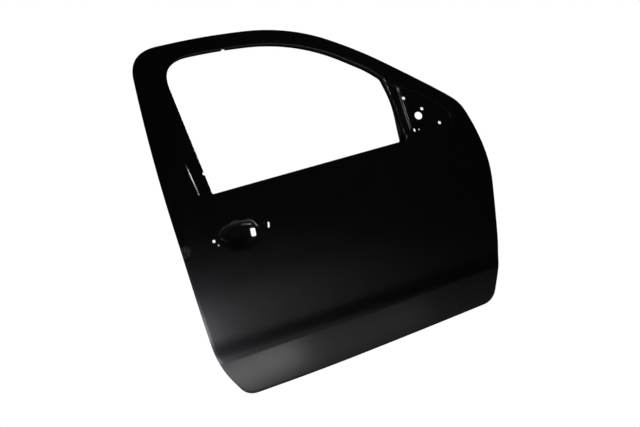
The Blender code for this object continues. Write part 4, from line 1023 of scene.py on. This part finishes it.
def make_inner_panel():
    """The inner panel, from the hem to the jamb."""
    sheet = Sheet()
    rim = []
    for distance in (SKIN_GAUGE + INNER_GAUGE / 2 + 2 * FIT_GAP, HEM_FLANGE):
        line = inset(outline, distance)
        rim.append(sheet.ring(line, inside_y(line[:, 0], line[:, 1], INNER_DEPTH)))
    shut, jamb = wall_rows(sheet), jamb_rows(sheet)
    for rows in (rim, shut, jamb):
        sheet.loft(rows)

    def base(x, z):
        lift = (signed(outline, np.stack([x, z], 1)) - HEM_FLANGE) / WALL_FOOT
        return inside_y(x, z, INNER_DEPTH + LIFT_OFF * smooth(lift))

    fill(sheet, [rim[-1], shut[0]], base, swage_lines(), SKIN_GRID)
    step = eased_step(sheet, rounded(TRIM, 9 * MM))
    sail = rounded(SAIL_HOLE, 6 * MM)
    sail = sheet.ring(sail, land_y(sail[:, 0], sail[:, 1]))
    fill(sheet, [shut[-1], jamb[0], step[0], sail], land_y, (), LAND_GRID)
    loops = [circle(place(SPEAKER_HOLE), SPEAKER_RADIUS, 72)]
    loops += [rounded(item, 7 * MM) for item in ACCESS]
    holes = [lipped_hole(sheet, loop if area(loop) > 0 else loop[::-1]) for loop in loops]
    plain = [circle(place(CABLE_HOLE), CABLE_RADIUS, 40)]
    plain += [circle(place(spot), CLIP_RADIUS, 20) for spot in CLIPS]
    holes += [sheet.ring(loop, trim_y(loop[:, 0], loop[:, 1])) for loop in plain]
    guides = []
    for start, end in BEADS:
        for share in np.linspace(0, 1, 6):
            line = capsule(place(start), place(end), BEAD_RADIUS + BEAD_WALL * share)
            guides.append(np.concatenate([line, line[:1]]))
    fill(sheet, [step[-1]] + holes, trim_y, guides, TRIM_GRID)
    return press(sheet, "inner_stamping", INNER_GAUGE, Vector((0, 1, 0)))


inner_stamping = make_inner_panel()

# %% [markdown]
# ## Holes through the shut faces
#
# Hinge bolts, the check link and the latch go through the shut faces.  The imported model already
# has these holes in its inner panel, so the same cutters are used here: bars and blocks, joined
# in one object and taken away with an exact Boolean.

# %% Bars, blocks and the Boolean
CUT_THROUGH = 44 * MM
BAR_SIDES = 32


def bar(centre, radius, axis, length=CUT_THROUGH):
    """Step that adds a round bar."""
    turn = Vector((0, 0, 1)).rotation_difference(Vector(axis)).to_matrix().to_4x4()
    spot = Matrix.Translation(centre) @ turn
    return lambda bm: bmesh.ops.create_cone(bm, cap_ends=True, segments=BAR_SIDES, radius1=radius,
                                            radius2=radius, depth=length, matrix=spot)


def block(centre, size, tilt=0):
    """Step that adds a block, tilted round the Y axis."""
    turn = Matrix.Rotation(tilt, 4, "Y") @ Matrix.Diagonal((*size, 1))
    return lambda bm: bmesh.ops.create_cube(bm, size=1, matrix=Matrix.Translation(centre) @ turn)


def take_away(item, shapes):
    """Cuts bars and blocks out of a piece."""
    tool = new_object("cutter", edit_mesh(bpy.data.meshes.new("cutter"), *shapes))
    cut = item.modifiers.new("cut", "BOOLEAN")
    cut.operation, cut.object, cut.solver = "DIFFERENCE", tool, "EXACT"
    flatten(item)
    bpy.data.objects.remove(tool)
    item.data.set_sharp_from_angle(angle=SHARP_ANGLE)


print("cutters:", round(CUT_THROUGH / MM), "mm long, bars with", BAR_SIDES, "sides")

# %% [markdown]
# ### Where the holes go
#
# Each hinge has two bolts, the latch has a mouth and three screws, and the check link has a slot
# and two bolts.  The front shut face leans where the check link sits, so its holes lean with it.
# The place of a shut face at a height is read from the same outline that the face was lofted on.

# %% Cutting the shut faces
LOWER_SEAT = 0.909
LOWER_HINGE = 0.1645
HINGE_BOLT = 5.5 * MM
HINGE_PITCH = 28 * MM
CHECK_HEIGHT = 0.300
CHECK_SLOT = (CUT_THROUGH, 12 * MM, 34 * MM)
CHECK_BOLT = 3.4 * MM
CHECK_PITCH = 23.5 * MM
CHECK_SPAN = 36 * MM
LATCH_HEIGHT = 0.418
LATCH_MOUTH = (CUT_THROUGH, 36 * MM, 24 * MM)
LATCH_SCREW = 3.6 * MM
LATCH_SCREWS = ((-30 * MM, 30 * MM), (-30 * MM, -30 * MM), (16 * MM, 32 * MM))
ALONG_DOOR = (1, 0, 0)


def wall_x(z, front):
    """Where the drafted shut face is at this height."""
    out = normals(wall)
    line = wall + out * wall_draft(out)[:, None]
    side = line[(line[:, 0] > line[:, 0].mean()) == front]
    side = side[np.argsort(side[:, 1])]
    return float(np.interp(z, side[:, 1], side[:, 0]))


check_z, latch_z = side_z(CHECK_HEIGHT), side_z(LATCH_HEIGHT)
check_x, latch_x = wall_x(check_z, True), wall_x(latch_z, False)
check_tilt = atan2(wall_x(check_z + CHECK_SPAN, True) - check_x, CHECK_SPAN)
along = Vector((cos(check_tilt), 0, -sin(check_tilt)))
up_wall = Vector((sin(check_tilt), 0, cos(check_tilt)))
hinge_seats = ((0, 0), (side_x(LOWER_SEAT), side_z(LOWER_HINGE)))
holes = [bar((x, 0, z + side * HINGE_PITCH), HINGE_BOLT, ALONG_DOOR)
         for side in (-1, 1) for x, z in hinge_seats]
holes += [bar((latch_x, y, latch_z + up), LATCH_SCREW, ALONG_DOOR) for y, up in LATCH_SCREWS]
holes += [block((latch_x, 0, latch_z), LATCH_MOUTH),
          block((check_x, 0, check_z), CHECK_SLOT, check_tilt)]
holes += [bar(Vector((check_x, 0, check_z)) + up_wall * side * CHECK_PITCH, CHECK_BOLT, along)
          for side in (-1, 1)]
take_away(inner_stamping, holes)
print("shut faces cut:", len(holes), "holes")

# %% [markdown]
# ## The glass channel
#
# A rolled channel runs round the inside of the window frame and guides the glass.  It is one
# sheet of constant section, so a few offset rows of the window outline, left open at the sill,
# are enough to make it.

# %% The glass channel
CHANNEL_DEPTH = 12.5 * MM
CHANNEL_CORNER = 1.5 * MM


def make_channel():
    """The channel, as an open run of rows."""
    start = np.argmax(window[:, 0] - window[:, 1])
    loop = np.roll(window, -start, 0)
    above = loop[:, 1] - sill_z(loop[:, 0])
    path = loop[above > CORNER_BLEND / 2]
    ends = [np.array([p[0], sill_z(p[0]) + CORNER_BLEND / 4]) for p in (path[0], path[-1])]
    path = np.concatenate([ends[:1], path, ends[1:]])
    near = WINDOW_FLANGE + FIT_GAP
    profile = [(0, near), (CHANNEL_DEPTH - CHANNEL_CORNER, near),
               (CHANNEL_DEPTH, near + CHANNEL_CORNER),
               (CHANNEL_DEPTH, near + CHANNEL_WIDTH - CHANNEL_CORNER),
               (CHANNEL_DEPTH - CHANNEL_CORNER, near + CHANNEL_WIDTH), (0, near + CHANNEL_WIDTH)]
    sheet = Sheet()
    rows = []
    for out, depth in profile:
        line = inset(path, -out, False)
        rows.append(sheet.ring(line, inside_y(line[:, 0], line[:, 1], depth)))
    sheet.loft(rows, closed=False)
    return press(sheet, "glass_channel", SKIN_GAUGE, Vector((0, 0, 1)))


glass_channel = make_channel()

# %% [markdown]
# ## Notches in the window edge
#
# Three half-round notches in the window edge locate the glass seal on its way round.  The rear
# one is in the skin's own fold, where its outline was drawn.  Light shows through all three, so
# each is also a bar taken away from channel and inner panel together, leaning as the edges behind
# each other do.

# %% The three notches
CAMERA_SPOT = Vector((-1.376, -3.103, 0.052))
NOTCH_SET_BACK = 20 * MM
NOTCH_CUT = 90 * MM


def notch_bar(shares):
    """Bar through the window edges, along the line on which light shows through them."""
    spot = place(shares)
    centre = Vector((spot[0], float(skin_y(*spot)), spot[1]))
    lean = (centre - CAMERA_SPOT).normalized()
    return bar(centre + lean * NOTCH_SET_BACK, NOTCH_RADIUS, lean, NOTCH_CUT)


for sheet in (glass_channel, inner_stamping):
    take_away(sheet, [notch_bar(spot) for spot in NOTCHES])
    print(sheet.name, "notched:", len(sheet.data.polygons), "faces")

# %% [markdown]
# ## Node trees
#
# The finishes and the beam are node trees.  Adding a node, setting it and linking it takes three
# lines each time, so one small function does all three.  A number or a word sets a property or an
# input, and a node or a socket gives a link.

# %% One small function that adds a node
def add(tree, kind, settings=None, links=None):
    """Adds a node, sets its properties and input values, and links its inputs."""
    node = tree.nodes.new(kind)
    for key, value in (settings or {}).items():
        if isinstance(key, str) and hasattr(node, key):
            setattr(node, key, value)
        else:
            node.inputs[key].default_value = value
    for key, source in (links or {}).items():
        if isinstance(source, bpy.types.Node):
            source = next(out for out in source.outputs if out.enabled)
        tree.links.new(source, node.inputs[key])
    return node


trial = bpy.data.node_groups.new("trial", "ShaderNodeTree")
add(trial, "ShaderNodeMath", {"operation": "MULTIPLY", 1: 0.5}, {0: add(trial, "ShaderNodeValue")})
print("a trial tree:", len(trial.nodes), "nodes and", len(trial.links), "link")
bpy.data.node_groups.remove(trial)

# %% [markdown]
# ## Finishes
#
# A bare shell is dipped and electro-coated: black epoxy, baked on, about 25 microns thick.  It
# comes out satin, not glossy.  Noise textures can give such a coat all that it needs, as long as
# each pattern has a real size, so a scale is always worked out from millimetres.

# %% Colours and patterns
def colour(code):
    """sRGB hex to the linear colour that a shader wants."""
    parts = [int(code[k:k + 2], 16) / 255 for k in (1, 3, 5)]
    return (*[p / 12.92 if p <= 0.04045 else ((p + 0.055) / 1.055) ** 2.4 for p in parts], 1.0)


def pattern_scale(size_mm):
    """Noise scale whose features are about this size."""
    return 1 / (size_mm * MM)


def new_material(name):
    """Empty node material."""
    made = bpy.data.materials.new(name)
    made.use_nodes = True
    made.node_tree.nodes.clear()
    return made


def noise(tree, spot, size_mm, detail):
    """Noise texture of one size."""
    return add(tree, "ShaderNodeTexNoise", {"Scale": pattern_scale(size_mm), "Detail": detail},
               {"Vector": spot})


print("a pattern of 10 mm has scale", round(pattern_scale(10)))
print("#808080 is", round(colour("#808080")[0], 3), "to a shader")

# %% [markdown]
# ### The electro-coat
#
# The coat has the faintest orange peel, and long soft waves where the steel itself is not quite
# flat.  Both are bumps, since they only turn the light.  Handling leaves fine dust, in clouds.
# One spot can also get a lighter, duller patch in streaks, which is a painted highlight.  Those
# change colour and roughness together.

# %% The electro-coat
PEEL_SIZE = 1.8
WAVE_SIZE = 110
DUST_SIZE = 0.9
CLOUD_SIZE = 60
STREAK_SIZE = 4
PEEL_HEIGHT = 0.02 * MM
WAVE_HEIGHT = 0.4 * MM


def coat_material(name, base, dust_and_sheen_tone, rough, sheen_spot=None):
    """Electro-coated steel; the last argument places a painted highlight: centre and radius."""
    made = new_material(name)
    tree = made.node_tree
    spot = add(tree, "ShaderNodeTexCoord").outputs["Object"]
    peel, wave = noise(tree, spot, PEEL_SIZE, 2.0), noise(tree, spot, WAVE_SIZE, 1.0)
    dust, cloud = noise(tree, spot, DUST_SIZE, 4.0), noise(tree, spot, CLOUD_SIZE, 5.0)
    speck = add(tree, "ShaderNodeMapRange", {"From Min": 0.62, "From Max": 0.78, "To Max": 0.35},
                {"Value": dust.outputs[0]})
    veil = add(tree, "ShaderNodeMapRange", {"From Min": 0.40, "From Max": 0.80, "To Max": 0.30},
               {"Value": cloud.outputs[0]})
    amount = add(tree, "ShaderNodeMath", {"operation": "MULTIPLY"}, {0: speck, 1: veil})
    # Painted highlight: within the radius the coat turns to the lighter tone, in streaks, and
    # rougher.
    if sheen_spot:
        centre, radius = sheen_spot
        away = add(tree, "ShaderNodeVectorMath", {"operation": "DISTANCE", 1: centre}, {0: spot})
        near = add(tree, "ShaderNodeMapRange", {"From Min": radius, "From Max": radius / 3},
                   {"Value": away.outputs["Value"]})
        broken = add(tree, "ShaderNodeMapRange", {"From Min": 0.50, "From Max": 0.60},
                     {"Value": noise(tree, spot, STREAK_SIZE, 8.0).outputs[0]})
        painted_sheen = add(tree, "ShaderNodeMath", {"operation": "MULTIPLY"}, {0: near, 1: broken})
        amount = add(tree, "ShaderNodeMath", {"operation": "MAXIMUM"}, {0: amount, 1: painted_sheen})
    tone = add(tree, "ShaderNodeMix", {"data_type": "RGBA", "A": colour(base), "B": colour(dust_and_sheen_tone)},
               {"Factor": amount})
    tone_out = next(out for out in tone.outputs if out.type == "RGBA")
    gloss = add(tree, "ShaderNodeMapRange", {"To Min": rough - 0.02, "To Max": rough + 0.03},
                {"Value": cloud.outputs[0]})
    dull = add(tree, "ShaderNodeMath", {"operation": "ADD"}, {0: gloss, 1: amount})
    long_wave = add(tree, "ShaderNodeBump", {"Strength": 0.25, "Distance": WAVE_HEIGHT},
                    {"Height": wave.outputs[0]})
    skin = add(tree, "ShaderNodeBump", {"Strength": 0.20, "Distance": PEEL_HEIGHT},
               {"Height": peel.outputs[0], "Normal": long_wave})
    shader = add(tree, "ShaderNodeBsdfPrincipled", {"IOR": 1.5},
                 {"Base Color": tone_out, "Roughness": dull, "Normal": skin})
    add(tree, "ShaderNodeOutputMaterial", links={"Surface": shader})
    print(name, "has", len(tree.nodes), "nodes")
    return made

# %% [markdown]
# ### Four finishes
#
# The skin has the same coat as the rest, with a painted highlight at its rear edge, below the
# handle: a lighter, duller patch in streaks.  Weld nuts and tapping plates are machined, so their
# coat looks duller.  The pads between beam and skin are mastic, which is matt and a little brown.

# %% The four finishes
# Centre and radius of the painted highlight on the skin, a lighter patch at its rear edge.
SHEEN_SPOT = (0.018, 0.4263)
SHEEN_RADIUS = 22 * MM
sheen_centre = (side_x(SHEEN_SPOT[0]), skin_y(*place(SHEEN_SPOT)), side_z(SHEEN_SPOT[1]))
e_coat = coat_material("black_electro_coat", "#030304", "#3A3A3E", 0.22)
# The skin's lighter second tone serves both the dust and the painted highlight.
skin_coat = coat_material("black_electro_coat_with_painted_sheen", "#030304", "#44484A", 0.22,
                          (sheen_centre, SHEEN_RADIUS))
plate_coat = coat_material("dull_coat_on_machined_steel", "#151517", "#3A3A3E", 0.50)
mastic = coat_material("matt_anti_flutter_mastic", "#262524", "#3A3A3E", 0.85)


def finish(item, material, nodes):
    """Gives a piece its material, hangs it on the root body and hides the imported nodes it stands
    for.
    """
    item.data.materials.clear()
    item.data.materials.append(material)
    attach(item, "root")
    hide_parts(*nodes)


finish(door_skin, skin_coat, ["outer_panel"])
finish(inner_stamping, e_coat, ["inner_panel"])
finish(glass_channel, e_coat, ["window_run_channel"])
print("finishes:", [item.name for item in (e_coat, skin_coat, plate_coat, mastic)])

# %% [markdown]
# ## The side impact beam
#
# The beam is a drawn steel tube.  A tube is a thin rectangle carried round a circle, and Geometry
# Nodes can say exactly that: one curve is the ring, the other is the wall's section, and Curve to
# Mesh sweeps the second along the first.

# %% A node tree with named sizes
def node_group(name, inputs):
    """Geometry tree with a geometry input and named number inputs."""
    tree = bpy.data.node_groups.new(name, "GeometryNodeTree")
    tree.interface.new_socket("Geometry", in_out="INPUT", socket_type="NodeSocketGeometry")
    for label, value in inputs.items():
        kind = "NodeSocketInt" if isinstance(value, int) else "NodeSocketFloat"
        made = tree.interface.new_socket(label, in_out="INPUT", socket_type=kind)
        made.default_value = value
    tree.interface.new_socket("Geometry", in_out="OUTPUT", socket_type="NodeSocketGeometry")
    print("tree", name, "with", ", ".join(inputs))
    return tree, tree.nodes.new("NodeGroupInput")


def end_tree(tree, geometry, material):
    """Realize Instances and Set Material, then the output."""
    real = add(tree, "GeometryNodeRealizeInstances", links={0: geometry})
    coat = add(tree, "GeometryNodeSetMaterial", {"Material": material}, {0: real})
    add(tree, "NodeGroupOutput", links={0: coat})


def run_tree(item, tree, sizes):
    """Runs a tree on an object with its sizes set by socket identifier, and keeps the mesh."""
    made = item.modifiers.new(tree.name, "NODES")
    made.node_group = tree
    for socket in tree.interface.items_tree:
        if socket.in_out == "INPUT" and socket.name in sizes:
            made[socket.identifier] = sizes[socket.name]
    flatten(item)
    return item

# %% [markdown]
# ### The tube and its place
#
# The circle runs through the middle of the wall, so its radius is the outer one less half the
# wall.  The beam lies a set gap behind the skin at both ends, and slopes down to the rear.  The
# tree's mesh is turned and moved as plain points, so the object itself stays at the origin.

# %% The beam as a swept tube
BEAM_RADIUS = 12.7 * MM
BEAM_WALL = 2.6 * MM
BEAM_GAP = 5 * MM
BEAM_REAR = (0.095, 0.200)
BEAM_FRONT = (0.865, 0.376)
tube_tree, tube_in = node_group("drawn_tube", {"Radius": BEAM_RADIUS, "Wall": BEAM_WALL,
                                               "Length": 1.0, "Sides": 48})
mean = add(tube_tree, "ShaderNodeMath", {"operation": "MULTIPLY_ADD", 1: -0.5},
           {0: tube_in.outputs["Wall"], 2: tube_in.outputs["Radius"]})
ring_curve = add(tube_tree, "GeometryNodeCurvePrimitiveCircle",
                 links={"Resolution": tube_in.outputs["Sides"], "Radius": mean})
wall_curve = add(tube_tree, "GeometryNodeCurvePrimitiveQuadrilateral",
                 links={"Width": tube_in.outputs["Wall"], "Height": tube_in.outputs["Length"]})
swept = add(tube_tree, "GeometryNodeCurveToMesh", links={0: ring_curve, 1: wall_curve})
end_tree(tube_tree, swept, e_coat)


def beam_end(shares):
    """End of the beam's middle line, behind this place of the skin."""
    spot = place(shares)
    y = inside_y(spot[0], spot[1], SKIN_GAUGE + BEAM_GAP + BEAM_RADIUS)
    return Vector((spot[0], float(y), spot[1]))


rear_end, front_end = beam_end(BEAM_REAR), beam_end(BEAM_FRONT)
beam = new_object("impact_beam_tube", bpy.data.meshes.new("impact_beam_tube"))
run_tree(beam, tube_tree, {"Radius": BEAM_RADIUS, "Wall": BEAM_WALL,
                           "Length": (front_end - rear_end).length})
turn = Vector((0, 0, 1)).rotation_difference(front_end - rear_end).to_matrix().to_4x4()
beam.data.transform(Matrix.Translation((front_end + rear_end) / 2) @ turn)
edit_mesh(beam.data, lambda bm: bmesh.ops.recalc_face_normals(bm, faces=bm.faces))
shade(beam)
finish(beam, e_coat, ["side_impact_beam"])
packed_low, packed_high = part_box("side_impact_beam")
print("beam:", len(beam.data.polygons), "faces; packed from", list(packed_low), "to",
      list(packed_high))

# %% [markdown]
# ## The smaller stampings
#
# Reinforcements, brackets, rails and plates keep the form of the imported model.  Its meshes are
# loose triangles, so each copy is merged first.  A fine bevel on the cut edges is what makes
# sheet metal look like metal: a sheared edge is never a perfect corner and always catches a
# little light.

# %% Merged and bevelled copies
SHEARED_EDGE = 0.25 * MM
MACHINED_EDGE = 0.5 * MM
PAD_EDGE = 2 * MM
BEHIND = {"mirror_reinforcement": PIN_HOLE, "handle_reinforcement": SCREW_HOLE}
BEHIND_RADIUS = 3 * MM


def merge(bm):
    """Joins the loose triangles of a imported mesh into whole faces."""
    bmesh.ops.remove_doubles(bm, verts=bm.verts, dist=MM / 100)
    bmesh.ops.dissolve_limit(bm, angle_limit=radians(0.5), verts=bm.verts, edges=bm.edges)


def finished_copy(name, material, width):
    """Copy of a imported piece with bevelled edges, and the skin's small hole carried through it."""
    made = new_object(name + "_finished", edit_mesh(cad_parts[name].data.copy(), merge))
    edge = made.modifiers.new("edge", "BEVEL")
    edge.width, edge.segments, edge.limit_method = width, 2, "ANGLE"
    edge.angle_limit = radians(50)
    flatten(made)
    if name in BEHIND:
        spot = place(BEHIND[name])
        take_away(made, [bar((spot[0], skin_y(*spot), spot[1]), BEHIND_RADIUS, (0, 1, 0))])
    shade(made, radians(30))
    finish(made, material, [name])


done = {"outer_panel", "inner_panel", "window_run_channel", "side_impact_beam"}
for name in sorted(set(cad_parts) - done):
    if "nut" in name or "tapping" in name:
        finished_copy(name, plate_coat, MACHINED_EDGE)
    elif "pad" in name:
        finished_copy(name, mastic, PAD_EDGE)
    else:
        finished_copy(name, e_coat, SHEARED_EDGE)
print("copies made:", len(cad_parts) - len(done))

# %% [markdown]
# ## The camera
#
# The door was photographed from outside, a little to the rear, with the camera rolled so that the
# sill climbs to the right.  Three angles, a distance and a point to look at say that plainly.
# The camera's own axes then follow from a cross product and a roll.

# %% The camera
CAMERA_YAW, CAMERA_PITCH, CAMERA_ROLL = radians(14), radians(2), radians(18.6)
CAMERA_DISTANCE = 3.2
SENSOR_MM = 36
LENS_MM = 52.76
LOOK_AT = Vector((-602 * MM, 0, -60 * MM))
ahead = Vector((sin(CAMERA_YAW) * cos(CAMERA_PITCH), cos(CAMERA_YAW) * cos(CAMERA_PITCH),
                -sin(CAMERA_PITCH)))
level = Vector((cos(CAMERA_YAW), -sin(CAMERA_YAW), 0))
upright = level.cross(ahead)
right = level * cos(CAMERA_ROLL) - upright * sin(CAMERA_ROLL)
up = level * sin(CAMERA_ROLL) + upright * cos(CAMERA_ROLL)
camera_data = bpy.data.cameras.new("camera")
camera_data.sensor_width = SENSOR_MM
camera_data.lens = LENS_MM
camera = new_object("camera", camera_data)
turn = Matrix((right, up, -ahead)).transposed().to_4x4()
camera.matrix_world = Matrix.Translation(LOOK_AT - ahead * CAMERA_DISTANCE) @ turn
bpy.context.scene.camera = camera
print("camera at", [round(v, 3) for v in camera.matrix_world.translation])

# %% [markdown]
# ## The floor
#
# The background of the picture is plain white.  The floor is therefore white wherever the camera
# looks at it, and pale paper to all other rays.  So it takes and gives back light like paper,
# while nothing of it shows behind the door.

# %% The floor
FLOOR_DROP = 1.05
FLOOR_REACH = 14
floor = new_object("floor", edit_mesh(
    bpy.data.meshes.new("floor"),
    lambda bm: bmesh.ops.create_grid(bm, x_segments=1, y_segments=1, size=FLOOR_REACH)))
floor.location = (LOOK_AT.x, 0, -FLOOR_DROP)
paper = new_material("white_paper_floor")
tree = paper.node_tree
path = add(tree, "ShaderNodeLightPath")
matte = add(tree, "ShaderNodeBsdfDiffuse", {"Color": colour("#E6E6E6")})
white = add(tree, "ShaderNodeEmission", {"Color": colour("#FFFFFF"), "Strength": 1.0})
shown = add(tree, "ShaderNodeMixShader", links={0: path.outputs["Is Camera Ray"], 1: matte,
                                                2: white})
add(tree, "ShaderNodeOutputMaterial", links={"Surface": shown})
floor.data.materials.append(paper)
print("floor:", round(FLOOR_DROP / MM), "mm below the upper hinge")

# %% [markdown]
# ## Light
#
# Black satin shows light only as a soft reflection, so what counts is where each lamp is
# mirrored.  Broad fields low on the left, near the floor, brighten the foot of the door, and a
# faint wash climbs the skin.  Three narrow lamps pick out the step edges and the rim of the bowl.
# Fields behind the door let its inner side be seen without reaching the window edge.

# %% A lamp
def softbox(name, place_at, look_at, size, radiance, tint="#FFFFFF", spread=180):
    """Area light; its power comes from how bright its face should look."""
    data = bpy.data.lights.new(name, "AREA")
    data.shape = "RECTANGLE"
    data.size, data.size_y = size
    data.energy = radiance * pi * size[0] * size[1]
    data.color = colour(tint)[:3]
    data.spread = radians(spread)
    made = new_object(name, data)
    made.location = place_at
    aim = Vector(look_at) - Vector(place_at)
    made.rotation_euler = aim.to_track_quat("-Z", "Y").to_euler()
    made.visible_camera = False
    print(name, round(data.energy, 3), "W")
    return made

# %% [markdown]
# ### The lamps
#
# Each line gives a place, a point to aim at, a size, how bright the face looks, and how widely it
# spreads.  A narrow spread works like a snoot on a studio lamp: it keeps the light off everything
# but one edge.

# %% The lamps
COOL = "#F0F2FF"
SMALL = (0.5, 0.5)
BACK = (1.8, 1.8)
lamps = (
    softbox("near_field", (-1.1, -0.9, -0.95), (-0.8, 0, -0.45), (0.8, 0.3), 2.7),
    softbox("near_right_field", (-0.4, -0.9, -0.95), (-0.5, 0, -0.45), (0.8, 0.3), 0.3),
    softbox("low_left_field", (-2.0, -1.8, -0.80), (-1.0, 0, -0.40), (1.6, 0.5), 8.2, COOL),
    softbox("floor_wash", (-1.6, -5.0, 3.0), (-1.6, -5.0, -1.0), (3.0, 3.0), 1.4, spread=60),
    softbox("post_edge_light", (-1.57, -3.0, 2.4), (-0.22, 0, 0.20), SMALL, 0.8, spread=16),
    softbox("pillar_edge_light", (1.8, -1.1, 1.8), (-0.95, 0, 0.42), SMALL, 0.35, spread=14),
    softbox("bowl_edge_light", (-1.9, -1.2, -0.95), (-0.89, 0, -0.02), (0.6, 0.3), 0.07, spread=16),
    softbox("back_left_field", (-3.4, 2.6, 0.9), (-0.6, 0, 0), BACK, 0.2, spread=50),
    softbox("back_right_field", (2.2, 2.6, 0.9), (-0.6, 0, 0), BACK, 1.8, spread=50),
    softbox("back_field", (-0.6, 2.2, 2.4), (-0.6, 0, 0.1), (2.4, 1.8), 0.15, spread=50))
print("lamps:", len(lamps))

# %% [markdown]
# ### The room around
#
# To the camera the world is white, like the paper.  To the coat it is a dim grey room, because a
# white one would be mirrored in the black and turn it grey.

# %% The world
world = bpy.data.worlds.new("studio")
bpy.context.scene.world = world
world.use_nodes = True
tree = world.node_tree
tree.nodes.clear()
path = add(tree, "ShaderNodeLightPath")
seen = add(tree, "ShaderNodeBackground", {"Color": colour("#FFFFFF"), "Strength": 1.0})
unseen = add(tree, "ShaderNodeBackground", {"Color": colour("#8A8C92"), "Strength": 0.08})
both = add(tree, "ShaderNodeMixShader", links={0: path.outputs["Is Camera Ray"], 1: unseen,
                                               2: seen})
add(tree, "ShaderNodeOutputWorld", links={"Surface": both})
bpy.context.scene.view_settings.view_transform = "Standard"
print("world:", world.name)
